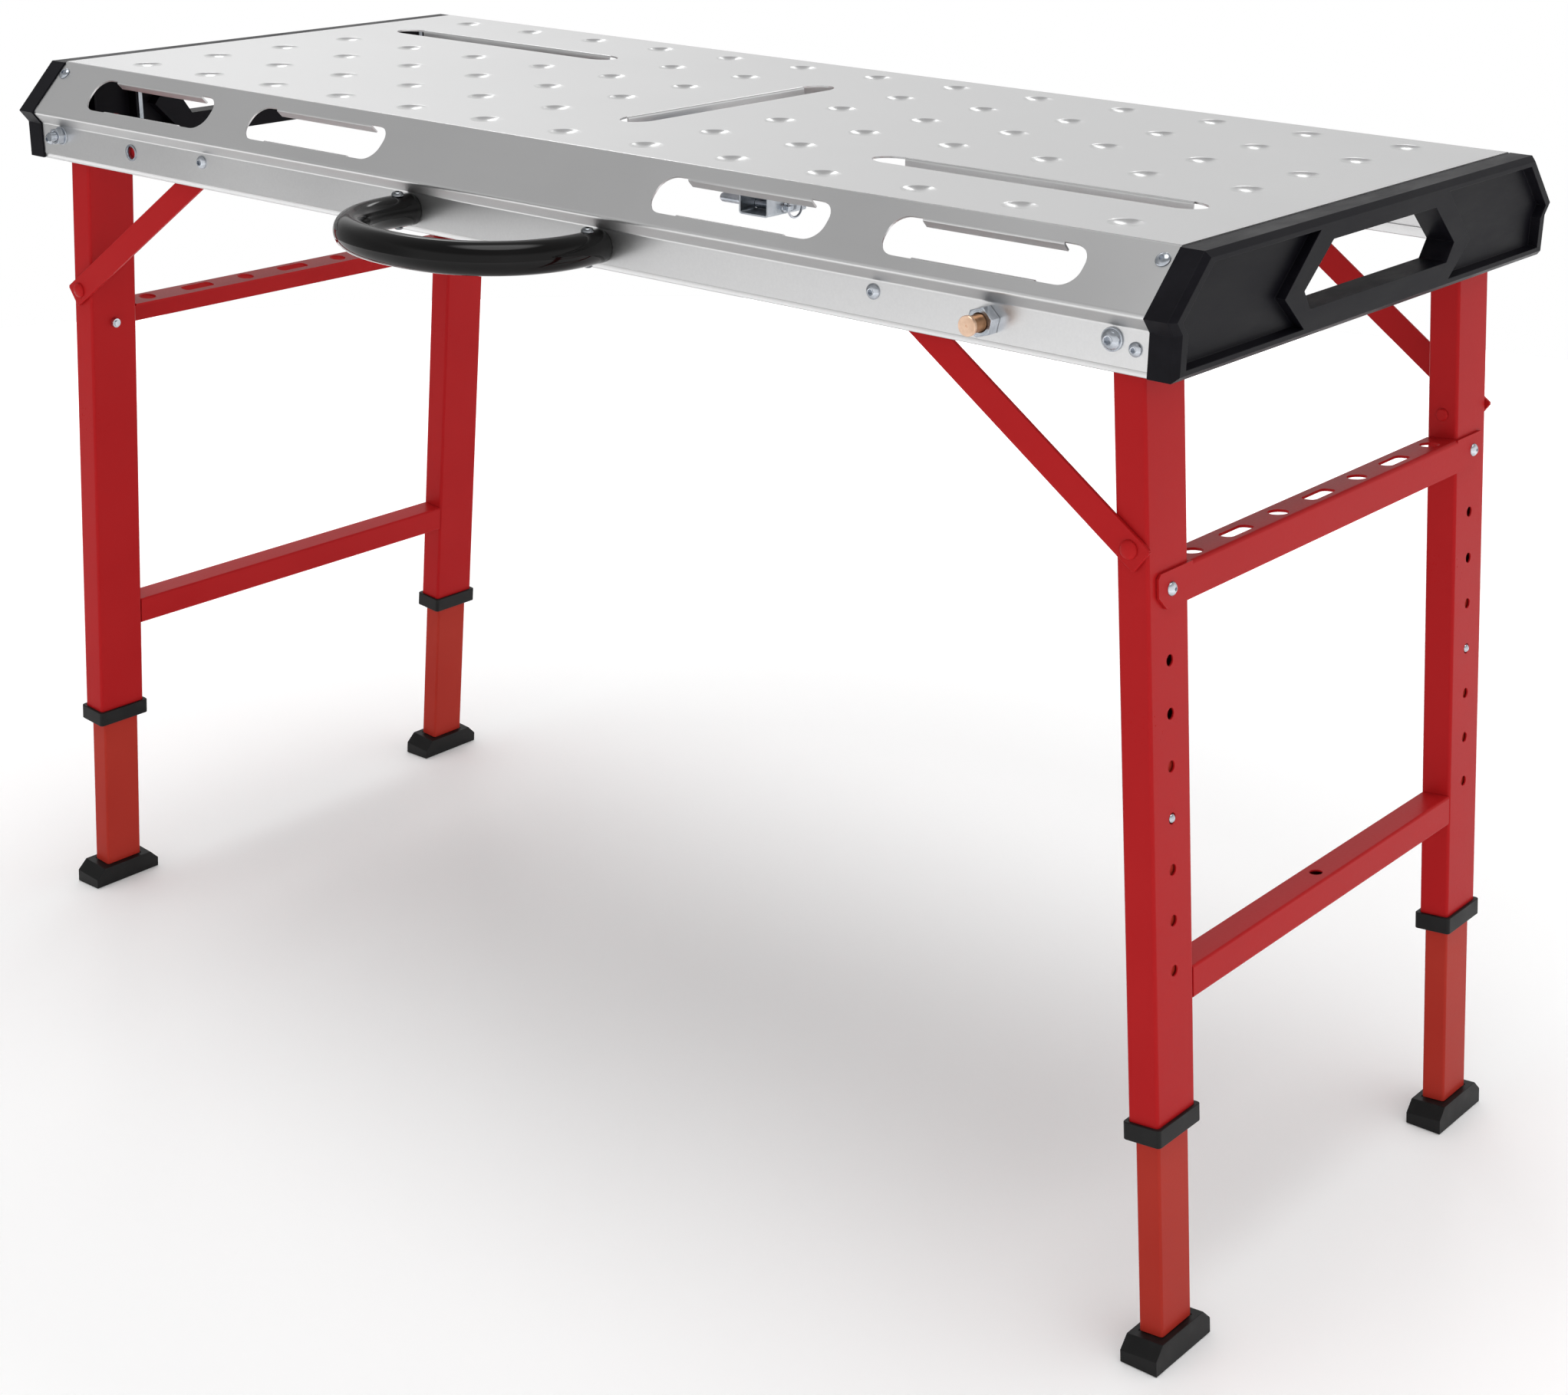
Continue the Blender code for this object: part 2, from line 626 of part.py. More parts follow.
# --- lock bracket, pin and ring ----------------------------------------------------------------------------------------------
def make_lock():
    flange = TOP_Z - 2 * SHEET - GAP
    section = [
        (flange, LOCK_LEFT - LOCK_FLANGE),
        (flange, LOCK_LEFT),
        (LOCK_BOTTOM + 0.0015, LOCK_LEFT),
        (LOCK_BOTTOM, LOCK_LEFT + 0.0015),
        (LOCK_BOTTOM, LOCK_RIGHT - 0.0015),
        (LOCK_BOTTOM + 0.0015, LOCK_RIGHT),
        (flange, LOCK_RIGHT),
        (flange, LOCK_RIGHT + LOCK_FLANGE),
    ]
    bm = bmesh.new()
    folded(bm, "Y", section, LOCK_FRONT, LOCK_BACK)
    bracket = add_part("lock_bracket", bm, "zinc", TABLE)
    add_wall(bracket, SHEET, offset=1.0)
    hole = bmesh.new()
    rod(hole, "X", (0.0, LOCK_PIN_Z), LOCK_PIN_R + GAP, LOCK_LEFT - 0.0030, LOCK_RIGHT + 0.0030)
    add_boolean(bracket, "lock_bracket_holes", hole)

    neck = LOCK_RIGHT + GAP - EYE_X
    tip = LOCK_PIN_TIP - EYE_X
    place = (EYE_X, 0.0, LOCK_PIN_Z)
    bm = bmesh.new()
    turned(bm, "X", [(0.0, tip), (0.0026, tip), (LOCK_PIN_R, tip + 0.0020), (LOCK_PIN_R, neck), (0.0, neck)])
    pin = add_part("lock_pin", bm, "zinc", TABLE, place)
    tang = bmesh.new()
    box(tang, (neck - 0.0010, -0.0032, -0.0018), (0.0027, 0.0032, 0.0018))
    add_boolean(pin, "lock_pin_tang", tang, "UNION")
    eye = bmesh.new()
    rod(eye, "Z", (0.0, 0.0), 0.0015, -0.0040, 0.0040)
    add_boolean(pin, "lock_pin_eye", eye)

    bm = bmesh.new()
    across = Matrix.Translation((0.0, -RING_R, 0.0)) @ Matrix.Rotation(math.pi / 8, 4, "Z")
    bmesh.ops.create_circle(bm, cap_ends=False, segments=8, radius=RING_WIRE, matrix=across)
    wire = bm.verts[:] + bm.edges[:]
    turn = 2 * math.pi
    bmesh.ops.spin(bm, geom=wire, cent=(0, 0, 0), axis=(1, 0, 0), angle=turn, steps=20, use_merge=True)
    bmesh.ops.translate(bm, verts=bm.verts, vec=(0.0, RING_R, 0.0))
    add_part("lock_ring", bm, "zinc", TABLE, place)


# --- leg frames -----------------------------------------------------------------------------------------------------------------
def pivot(side):
    """Where a leg frame folds: the left one sits a little higher up its legs, so it packs above the right."""
    x, z = RIGHT_PIVOT
    if side > 0:
        return x, z
    return -(x - LEFT_PIVOT_RISE * math.sin(SPLAY)), z + LEFT_PIVOT_RISE * math.cos(SPLAY)


def make_frame(end_name, side):
    pivot_x, pivot_z = pivot(side)
    frame = add_empty("leg_frame_" + end_name, (pivot_x, 0.0, pivot_z), TABLE)
    frame.rotation_euler = (0.0, -side * SPLAY, 0.0)
    drop = 0.0 if side > 0 else LEFT_PIVOT_RISE
    for depth_name, depth in (("front", -1), ("back", 1)):
        label = end_name + "_" + depth_name
        leg_y = depth * LEG_Y
        make_outer_leg(label, frame, side, depth, drop)
        make_inner_leg(label, frame, side, leg_y, drop)
        make_collar(label, frame, leg_y, drop)
        make_foot(label, frame, side, leg_y, drop)
        make_button(label, frame, side, leg_y, drop)
        make_bolt_and_rivet(label, frame, side, depth, drop)
        make_brace(label, frame, side, depth, drop)
    make_rail(end_name, frame, side, drop)
    make_crossbar(end_name, frame, side, drop)


def make_outer_leg(label, frame, side, depth, drop):
    bm = bmesh.new()
    folded(bm, "Z", rounded(OUTER_U, OUTER_Y, 0.0022, steps=1), OUTER_BOTTOM, OUTER_TOP, closed=True)
    leg = add_part("outer_leg_" + label, bm, "red_paint", frame, (0.0, depth * LEG_Y, -drop))
    add_wall(leg, TUBE_WALL)
    holes = bmesh.new()
    for k in range(-3, 4):
        rod(holes, "X", (0.0, PIN_HOLE + k * HOLE_PITCH), HOLE_R, *spread(side, 0.0090, 0.0150), sides=10)
    rod(holes, "X", (0.0, RAIL_BOLT), 0.0028, -0.0150, 0.0150, sides=8)
    rod(holes, "Y", (drop, 0.0), RUNNING_R, -0.0280, 0.0280)
    rod(holes, "Y", (RIVET, 0.0), RIVET_R + GAP, depth * (OUTER_Y - 0.0040), depth * (OUTER_Y + 0.0030), 10)
    add_boolean(leg, "outer_leg_holes_" + label, holes)


def make_inner_leg(label, frame, side, leg_y, drop):
    """The telescopic inner leg, with its origin at the spring button."""
    bm = bmesh.new()
    section = rounded(INNER_U, INNER_Y, 0.0020, steps=1)
    folded(bm, "Z", section, INNER_BOTTOM - PIN_HOLE, INNER_TOP - PIN_HOLE, closed=True)
    leg = add_part("inner_leg_" + label, bm, "red_paint", frame, (0.0, leg_y, PIN_HOLE - drop))
    add_wall(leg, TUBE_WALL)
    hole = bmesh.new()
    rod(hole, "X", (0.0, 0.0), 0.0039, *spread(side, 0.0060, 0.0130), sides=10)
    add_boolean(leg, "inner_leg_hole_" + label, hole)


def make_collar(label, frame, leg_y, drop):
    """The plastic cup round the lower end of an outer leg, with the inner leg sliding through its mouth."""
    low = -0.0045
    high = low + COLLAR_HEIGHT
    bm = bmesh.new()
    slab(bm, "Z", rounded(0.0150, 0.0275, 0.0028, steps=1), low, high)
    collar = add_part("collar_" + label, bm, "black_rubber", frame, (0.0, leg_y, OUTER_BOTTOM - drop))
    pocket = bmesh.new()
    slab(pocket, "Z", rounded(OUTER_U + GAP, OUTER_Y + GAP, 0.0022, steps=1), -GAP, high + 0.0020)
    add_boolean(collar, "collar_pocket_" + label, pocket)
    mouth = bmesh.new()
    slab(mouth, "Z", rounded(INNER_U + GAP, INNER_Y + GAP, 0.0020, steps=1), low - 0.0020, 0.0010)
    add_boolean(collar, "collar_mouth_" + label, mouth)


def make_foot(label, frame, side, leg_y, drop):
    """A rubber foot cut off level with the floor, with a plug up inside the inner leg."""
    bm = bmesh.new()
    box(bm, (-FOOT_HALF_U, -FOOT_HALF_Y, -0.0400), (FOOT_HALF_U, FOOT_HALF_Y, 0.0))
    shoulders = [e for e in bm.edges if all(v.co.z > -0.001 for v in e.verts)]
    shoulders = [e for e in shoulders if abs(e.verts[0].co.y - e.verts[1].co.y) < 0.001]
    bmesh.ops.bevel(bm, geom=shoulders, offset=0.0090, segments=1, affect="EDGES")
    place = Vector((0.0, leg_y, INNER_BOTTOM - GAP - drop))
    to_world = Matrix.Translation((*pivot(side)[:1], 0.0, pivot(side)[1])) @ Matrix.Rotation(-side * SPLAY, 4, "Y")
    to_foot = (to_world @ Matrix.Translation(place)).inverted()
    everything = bm.verts[:] + bm.edges[:] + bm.faces[:]
    on_floor = to_foot @ Vector((0.0, 0.0, 0.0))
    upwards = to_foot.to_3x3() @ Vector((0.0, 0.0, 1.0))
    bmesh.ops.bisect_plane(bm, geom=everything, plane_co=on_floor, plane_no=upwards, clear_inner=True)
    bmesh.ops.holes_fill(bm, edges=bm.edges[:])
    foot = add_part("foot_" + label, bm, "black_rubber", frame, place)
    plug = bmesh.new()
    slack = TUBE_WALL + 3 * GAP
    box(plug, (slack - INNER_U, slack - INNER_Y, -0.0020), (INNER_U - slack, INNER_Y - slack, 0.0150))
    add_boolean(foot, "foot_plug_" + label, plug, "UNION")


def make_button(label, frame, side, leg_y, drop):
    """The spring button: a domed pin through both tubes, with a flange behind the inner one."""
    profile = [
        (0.0, 0.0143),
        (0.0022, 0.0140),
        (0.0035, 0.0123),
        (0.0035, 0.0082),
        (0.0055, 0.0082),
        (0.0055, 0.0066),
        (0.0, 0.0066),
    ]
    bm = bmesh.new()
    turned(bm, "X", [(radius, side * u) for radius, u in profile], sides=10)
    add_part("spring_button_" + label, bm, "zinc", frame, (0.0, leg_y, PIN_HOLE - drop))


def make_bolt_and_rivet(label, frame, side, depth, drop):
    bolt = [
        (0.0, 0.0180),
        (0.0036, 0.0172),
        (0.0050, 0.0148 + GAP),
        (0.0025, 0.0148 + GAP),
        (0.0025, -OUTER_U - GAP),
        (0.0042, -OUTER_U - GAP),
        (0.0042, -OUTER_U - 0.0035),
        (0.0, -OUTER_U - 0.0035),
    ]
    bm = bmesh.new()
    turned(bm, "X", [(radius, side * u) for radius, u in bolt], sides=8)
    add_part("rail_bolt_" + label, bm, "zinc", frame, (0.0, depth * LEG_Y, RAIL_BOLT - drop))
    inside = LEG_Y + OUTER_Y - TUBE_WALL
    rivet = [
        (0.0, inside - 0.0022),
        (0.0052, inside - 0.0022),
        (0.0052, inside - GAP),
        (RIVET_R, inside - GAP),
        (RIVET_R, BRACE_OUT + GAP),
        (0.0064, BRACE_OUT + GAP),
        (0.0050, BRACE_OUT + 0.0029),
        (0.0, BRACE_OUT + 0.0037),
    ]
    bm = bmesh.new()
    turned(bm, "Y", [(radius, depth * y) for radius, y in rivet])
    add_part("brace_rivet_" + label, bm, "red_paint", frame, (0.0, 0.0, RIVET - drop))


def make_brace(label, frame, side, depth, drop):
    """A flat bar from its rivet on the leg to its screw on the skirt, with its origin at the rivet."""
    pivot_x, pivot_z = pivot(side)
    to_screw = Vector((side * BRACE_SCREW[0] - pivot_x, 0.0, BRACE_SCREW[1] - pivot_z))
    to_screw.rotate(Matrix.Rotation(side * SPLAY, 3, "Y"))
    bar = to_screw - Vector((0.0, 0.0, RIVET - drop))
    tilt = math.atan2(-bar.z, bar.x)
    inner, outer = sorted((depth * BRACE_IN, depth * BRACE_OUT))
    half = BRACE_WIDTH / 2
    bm = bmesh.new()
    box(bm, (-BRACE_END, inner, -half), (bar.length + BRACE_END, outer, half))
    corners = [e for e in bm.edges if abs(e.verts[0].co.y - e.verts[1].co.y) > 0.001]
    bmesh.ops.bevel(bm, geom=corners, offset=0.0025, segments=1, affect="EDGES")
    brace = add_part("brace_" + label, bm, "red_paint", frame, (0.0, 0.0, RIVET - drop), tilt)
    holes = bmesh.new()
    rod(holes, "Y", (0.0, 0.0), RUNNING_R, inner - 0.0020, outer + 0.0020)
    rod(holes, "Y", (0.0, bar.length), 0.0034, inner - 0.0020, outer + 0.0020, sides=10)
    add_boolean(brace, "brace_holes_" + label, holes)


def make_rail(end_name, frame, side, drop):
    """The punched angle rail between two outer legs, its flange lapped over their outer faces."""
    span = LEG_Y - OUTER_Y - GAP
    outer = OUTER_U + GAP + RAIL_THICK
    height = RAIL_HEIGHT
    inner = outer - RAIL_THICK
    section = [
        (-height, outer),
        (0.0, outer),
        (0.0, -OUTER_U),
        (-RAIL_THICK, -OUTER_U),
        (-RAIL_THICK, inner),
        (-height, inner),
    ]
    bm = bmesh.new()
    slab(bm, "Y", [(w, side * u) for w, u in section], -span, span)
    name = "upper_rail_" + end_name
    rail = add_part(name, bm, "red_paint", frame, (0.0, 0.0, RAIL_TOP - drop))
    reach = 0.2400
    clip = 0.0100
    outline = [
        (reach, 0.0),
        (-reach, 0.0),
        (-reach, clip - height),
        (clip - reach, -height),
        (reach - clip, -height),
        (reach, clip - height),
    ]
    flange = bmesh.new()
    slab(flange, "X", outline, *spread(side, inner, outer))
    add_boolean(rail, name + "_flange", flange, "UNION")
    holes = bmesh.new()
    middle = side * 0.0012
    for k in range(-3, 4):
        y = k * 0.0585
        if k % 2:
            rod(holes, "Z", (middle, y), 0.0075, -0.0040, 0.0020)
        else:
            oblong = [(middle + a, y + b) for a, b in rounded(0.0060, 0.0170, 0.0058, steps=3)]
            slab(holes, "Z", oblong, -0.0040, 0.0020)
    bolt_drop = RAIL_BOLT - RAIL_TOP
    for depth in (1, -1):
        rod(holes, "X", (depth * LEG_Y, bolt_drop), 0.0028, *spread(side, outer - 0.0040, outer + 0.0020), 8)
    add_boolean(rail, name + "_holes", holes)


def make_crossbar(end_name, frame, side, drop):
    """The square crossbar between two outer legs; the lock pin passes through the right one when folded."""
    span = LEG_Y - OUTER_Y - GAP
    bm = bmesh.new()
    folded(bm, "Y", rounded(CROSSBAR_HALF, CROSSBAR_HALF, 0.0020, steps=1), -span, span, closed=True)
    name = "lower_crossbar_" + end_name
    bar = add_part(name, bm, "red_paint", frame, (0.0, 0.0, CROSSBAR - drop))
    add_wall(bar, TUBE_WALL)
    if side > 0:
        hole = bmesh.new()
        rod(hole, "Z", (0.0, 0.0), 0.0050, -0.0200, 0.0200)
        add_boolean(bar, name + "_pin_holes", hole)


TABLE = add_empty("table_middle", (0.0, ORIGIN_SHIFT_Y, 0.0))
make_top_sheet()
make_end_cap("end_cap_left", -1)
make_end_cap("end_cap_right", 1)
make_handle()
make_skirt_fasteners()
make_lock()
make_frame("left", -1)
make_frame("right", 1)
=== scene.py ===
"""Folding welding table: the fine surfaces, finishes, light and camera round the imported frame."""

import json
import math

import bmesh
import bpy
from mathutils import Matrix, Vector


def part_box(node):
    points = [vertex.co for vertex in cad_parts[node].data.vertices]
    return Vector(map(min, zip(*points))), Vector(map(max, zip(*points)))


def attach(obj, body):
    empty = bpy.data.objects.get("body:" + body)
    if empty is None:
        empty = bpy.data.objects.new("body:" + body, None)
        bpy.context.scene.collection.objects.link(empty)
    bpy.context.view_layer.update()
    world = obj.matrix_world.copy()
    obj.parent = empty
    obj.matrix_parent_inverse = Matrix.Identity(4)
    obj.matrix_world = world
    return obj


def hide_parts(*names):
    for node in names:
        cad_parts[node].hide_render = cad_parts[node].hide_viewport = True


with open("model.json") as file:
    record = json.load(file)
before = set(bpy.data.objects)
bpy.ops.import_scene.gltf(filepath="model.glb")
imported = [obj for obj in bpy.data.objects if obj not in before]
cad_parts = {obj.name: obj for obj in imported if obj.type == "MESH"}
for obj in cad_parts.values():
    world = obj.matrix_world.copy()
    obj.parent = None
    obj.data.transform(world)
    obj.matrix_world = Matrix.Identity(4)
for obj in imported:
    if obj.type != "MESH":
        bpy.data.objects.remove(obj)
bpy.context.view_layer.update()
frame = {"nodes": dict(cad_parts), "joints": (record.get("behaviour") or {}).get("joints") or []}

# --- places, all from the frame -----------------------------------------------------------------
sheet_low, sheet_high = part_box("top_sheet")
cap_low, cap_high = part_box("end_cap_right")
TOP_Z = sheet_high.z
SHEET_END_X = sheet_high.x
CAP_END_X = cap_high.x
MID_Y = (sheet_low.y + sheet_high.y) / 2
BASE = Matrix.Translation((0.0, MID_Y, 0.0))
JOINTS = {joint["name"]: joint for joint in frame["joints"]}
slide = JOINTS["inner_leg_right_front_slide"]["axis"]
SPLAY = math.atan2(slide[0], -slide[2])
PIVOTS = {}
for end_name, side in (("left", -1), ("right", 1)):
    place = JOINTS[end_name + "_frame_fold"]["pos_m"]
    PIVOTS[side] = (place[0], place[2])
right_x, right_z = PIVOTS[1]
LEG_TOP_Z = right_z
LEG_TOP_X = right_x

# --- sheet ------------------------------------------------------------------------------------------
SHEET = 0.0015
WIDEST_HALF_Y = (sheet_high.y - sheet_low.y) / 2
FLAT_HALF_Y = 0.2348
SKIRT_HALF_Y = 0.2666
WIDEST_DROP = 0.0404
SKIRT_DROP = 0.0502
BOTTOM_DROP = TOP_Z - sheet_low.z
GAP = 0.0003
SLOT_LENGTH = 0.2850
SLOT_HALF = 0.0145
SLOT_X = 0.3840
SLOT_Y = 0.1185
SLOT_TIP = 0.0190
CROSS_LENGTH = 0.2600
OPENING_X = (0.2260, 0.4375)
OPENING_HALF = 0.0800
OPENING_TOP = 0.0120
OPENING_BOTTOM = 0.0447
DIMPLE_PITCH = (0.0853, 0.0790)
DIMPLE_R = 0.0138
DIMPLE_DEPTH = 0.0023

# --- legs, in leg axes ----------------------------------------------------------------------------------
LEG_Y = 0.2240
OUTER_U, OUTER_Y = 0.0125, 0.0250
INNER_U, INNER_Y = 0.0100, 0.0200
TUBE_WALL = 0.0015
OUTER_TOP, OUTER_BOTTOM = 0.0110, -0.5755
INNER_TOP, INNER_BOTTOM = -0.2960, -0.7380
PIN_HOLE, HOLE_PITCH = -0.3390, 0.0380
RAIL_TOP, RAIL_HEIGHT, RAIL_THICK = -0.1615, 0.0260, 0.0020
RAIL_BOLT = -0.1745
CROSSBAR, CROSSBAR_HALF = -0.4715, 0.0125
RIVET = -0.1425
BRACE_SCREW = (0.3570, 0.7565)
BRACE_IN, BRACE_OUT = 0.2495, 0.2525
HANDLE_X, HANDLE_Z = 0.1018, 0.7515
HANDLE_R, HANDLE_REACH, HANDLE_BEND_Y, HANDLE_SCREW_Y = 0.0127, 0.0935, -0.2850, -0.2800
STUD_X, STUD_Z = 0.4525, 0.7520
LOCK_LEFT, LOCK_RIGHT, LOCK_BOTTOM, LOCK_PIN_Z = 0.0280, 0.0590, 0.7306, 0.7366
EYE_X = JOINTS["lock_ring_swing"]["pos_m"][0]


# --- node materials ------------------------------------------------------------------------------------------
class Nodes:
    """A material's node tree, with short calls for the nodes it uses."""

    def __init__(self, name):
        self.material = bpy.data.materials.new(name)
        self.material.use_nodes = True
        self.tree = self.material.node_tree
        self.shader = self.tree.nodes["Principled BSDF"]
        geometry = self.tree.nodes.new("ShaderNodeNewGeometry")
        self.position = geometry.outputs["Position"]
        self.normal = geometry.outputs["Normal"]

    def link(self, source, target):
        if hasattr(source, "is_output"):
            self.tree.links.new(source, target)
        else:
            target.default_value = source

    def maths(self, operation, first, second=0.0, clamp=False):
        node = self.tree.nodes.new("ShaderNodeMath")
        node.operation = operation
        node.use_clamp = clamp
        self.link(first, node.inputs[0])
        self.link(second, node.inputs[1])
        return node.outputs[0]

    def noise(self, scale, detail=2.0, roughness=0.5, stretch=(1.0, 1.0, 1.0), offset=(0.0, 0.0, 0.0)):
        mapping = self.tree.nodes.new("ShaderNodeMapping")
        mapping.inputs["Scale"].default_value = stretch
        mapping.inputs["Location"].default_value = offset
        self.tree.links.new(self.coordinates(), mapping.inputs["Vector"])
        node = self.tree.nodes.new("ShaderNodeTexNoise")
        node.inputs["Scale"].default_value = scale
        node.inputs["Detail"].default_value = detail
        node.inputs["Roughness"].default_value = roughness
        self.tree.links.new(mapping.outputs[0], node.inputs["Vector"])
        return node.outputs["Fac"]

    def coordinates(self):
        for node in self.tree.nodes:
            if node.type == "TEX_COORD":
                return node.outputs["Object"]
        return self.tree.nodes.new("ShaderNodeTexCoord").outputs["Object"]

    def spread(self, value, low, high, from_low=0.0, from_high=1.0):
        node = self.tree.nodes.new("ShaderNodeMapRange")
        self.link(value, node.inputs["Value"])
        for key, number in (("From Min", from_low), ("From Max", from_high), ("To Min", low), ("To Max", high)):
            node.inputs[key].default_value = number
        return node.outputs[0]

    def mix(self, factor, first, second):
        node = self.tree.nodes.new("ShaderNodeMix")
        node.data_type = "RGBA"
        self.link(factor, node.inputs[0])
        self.link(self.colour(first), node.inputs[6])
        self.link(self.colour(second), node.inputs[7])
        return node.outputs[2]

    @staticmethod
    def colour(value):
        return (*value, 1.0) if isinstance(value, tuple) and len(value) == 3 else value

    def edge(self, radius):
        """Near 1 along sharp edges and 0 on flat faces; the materials paint edge highlights with it."""
        bevel = self.tree.nodes.new("ShaderNodeBevel")
        bevel.samples = 4
        bevel.inputs["Radius"].default_value = radius
        dot = self.tree.nodes.new("ShaderNodeVectorMath")
        dot.operation = "DOT_PRODUCT"
        self.tree.links.new(bevel.outputs[0], dot.inputs[0])
        self.tree.links.new(self.normal, dot.inputs[1])
        return self.spread(dot.outputs["Value"], 1.0, 0.0, 0.72, 0.99)

    def bump(self, height, strength, distance):
        node = self.tree.nodes.new("ShaderNodeBump")
        node.inputs["Strength"].default_value = strength
        node.inputs["Distance"].default_value = distance
        self.link(height, node.inputs["Height"])
        self.tree.links.new(node.outputs[0], self.shader.inputs["Normal"])

    def finish(self, colour, roughness, metallic=0.0, **others):
        self.link(self.colour(colour), self.shader.inputs["Base Color"])
        self.link(roughness, self.shader.inputs["Roughness"])
        self.shader.inputs["Metallic"].default_value = metallic
        for key, value in others.items():
            self.link(value, self.shader.inputs[key.replace("_", " ")])
        return self.material


def sheet_material():
    """Galvanised sheet: soft clouds and rolling streaks, a fine speckle on the upright skirts, and painted shade on the
    faces that look down.
    """
    n = Nodes("galvanised_sheet")
    clouds = n.noise(5.0, 3.0, 0.55)
    streaks = n.noise(60.0, 3.0, 0.6, stretch=(0.06, 1.0, 1.0))
    speckle = n.noise(520.0, 3.0, 0.65)
    split = n.tree.nodes.new("ShaderNodeSeparateXYZ")
    n.tree.links.new(n.normal, split.inputs[0])
    upright = n.spread(n.maths("ABSOLUTE", split.outputs["Y"]), 0.0, 1.0, 0.80, 0.97)
    tone = n.maths("ADD", n.spread(clouds, -0.05, 0.05, 0.3, 0.7), n.spread(streaks, -0.025, 0.025, 0.3, 0.7))
    grain = n.maths("MULTIPLY", n.spread(speckle, -0.10, 0.10, 0.3, 0.7), n.spread(upright, 0.12, 1.0))
    tone = n.maths("ADD", n.maths("ADD", tone, grain), 0.5)
    level = n.spread(split.outputs["Z"], 0.08, 0.0, 0.80, 0.93)
    # Mask of faces that look down: it paints shade into the colour below and also raises the roughness.
    painted_shade_facing_down = n.spread(split.outputs["Z"], 1.0, 0.0, -0.60, -0.20)
    level = n.maths("ADD", level, n.maths("MULTIPLY", painted_shade_facing_down, 0.18))
    colour = n.mix(tone, (0.62, 0.62, 0.625), (0.77, 0.77, 0.77))
    # Painted shade: faces that look down are mixed towards dark grey.
    colour = n.mix(n.maths("MULTIPLY", painted_shade_facing_down, 0.55), colour, (0.30, 0.30, 0.30))
    rough = n.maths("ADD", n.spread(clouds, 0.20, 0.26, 0.3, 0.7), level)
    n.bump(n.maths("ADD", speckle, n.maths("MULTIPLY", streaks, 0.5)), 0.10, 0.0002)
    return n.finish(colour, rough, 1.0)


def red_material(name, body, worn):
    """Powder coat with a slight orange peel and soft changes of tone."""
    n = Nodes(name)
    peel = n.noise(420.0, 2.0, 0.5)
    clouds = n.noise(9.0, 2.0, 0.5)
    colour = n.mix(n.spread(clouds, 0.0, 0.5, 0.35, 0.7), body, worn)
    rough = n.maths("ADD", n.spread(peel, 0.30, 0.36, 0.3, 0.7), n.spread(clouds, -0.03, 0.04, 0.3, 0.7))
    n.bump(peel, 0.08, 0.0004)
    return n.finish(colour, rough, 0.0, Specular_IOR_Level=0.07)


def plastic_material():
    """Moulded black plastic: fine grain, faint scuffs, and painted highlights along the edges."""
    n = Nodes("moulded_black_plastic")
    grain = n.noise(900.0, 2.0, 0.6)
    scuffs = n.noise(28.0, 5.0, 0.7, stretch=(1.0, 0.4, 1.6))
    colour = n.mix(n.spread(scuffs, 0.0, 1.0, 0.42, 0.75), (0.0050, 0.0047, 0.0068), (0.0090, 0.0085, 0.0118))
    # Painted highlight: the sharp edges are mixed towards a paler grey.
    colour = n.mix(n.maths("MULTIPLY", n.edge(0.0008), 0.22), colour, (0.060, 0.060, 0.064))
    rough = n.spread(scuffs, 0.36, 0.50, 0.35, 0.7)
    n.bump(grain, 0.12, 0.0002)
    return n.finish(colour, rough, 0.0, Specular_IOR_Level=0.09)


def gloss_material():
    n = Nodes("gloss_black_coat")
    peel = n.noise(260.0, 1.0, 0.4)
    clouds = n.noise(14.0, 2.0, 0.5)
    colour = n.mix(n.spread(clouds, 0.0, 1.0, 0.35, 0.7), (0.0020, 0.0018, 0.0018), (0.0045, 0.0040, 0.0040))
    n.bump(peel, 0.03, 0.0003)
    return n.finish(colour, n.spread(clouds, 0.05, 0.10, 0.3, 0.7), 0.0, Specular_IOR_Level=0.20)


def rubber_material():
    n = Nodes("moulded_black_rubber")
    grain = n.noise(700.0, 3.0, 0.6)
    dust = n.noise(40.0, 4.0, 0.6)
    colour = n.mix(n.spread(dust, 0.0, 1.0, 0.45, 0.75), (0.0060, 0.0060, 0.0062), (0.0130, 0.0130, 0.0130))
    # Painted highlight: the sharp edges are mixed towards a paler grey.
    colour = n.mix(n.maths("MULTIPLY", n.edge(0.0008), 0.25), colour, (0.050, 0.050, 0.052))
    n.bump(grain, 0.15, 0.0002)
    return n.finish(colour, n.spread(dust, 0.40, 0.54, 0.3, 0.7), 0.0, Specular_IOR_Level=0.20)


def metal_material(name, dark, light, rough_low, rough_high, scale=240.0):
    """Plated metal: slight staining, and a fine turned or rolled grain."""
    n = Nodes(name)
    stain = n.noise(scale * 0.35, 3.0, 0.6)
    grain = n.noise(scale * 4.0, 2.0, 0.6)
    colour = n.mix(n.spread(stain, 0.0, 1.0, 0.35, 0.68), dark, light)
    n.bump(grain, 0.06, 0.0001)
    return n.finish(colour, n.spread(stain, rough_low, rough_high, 0.35, 0.7), 1.0)


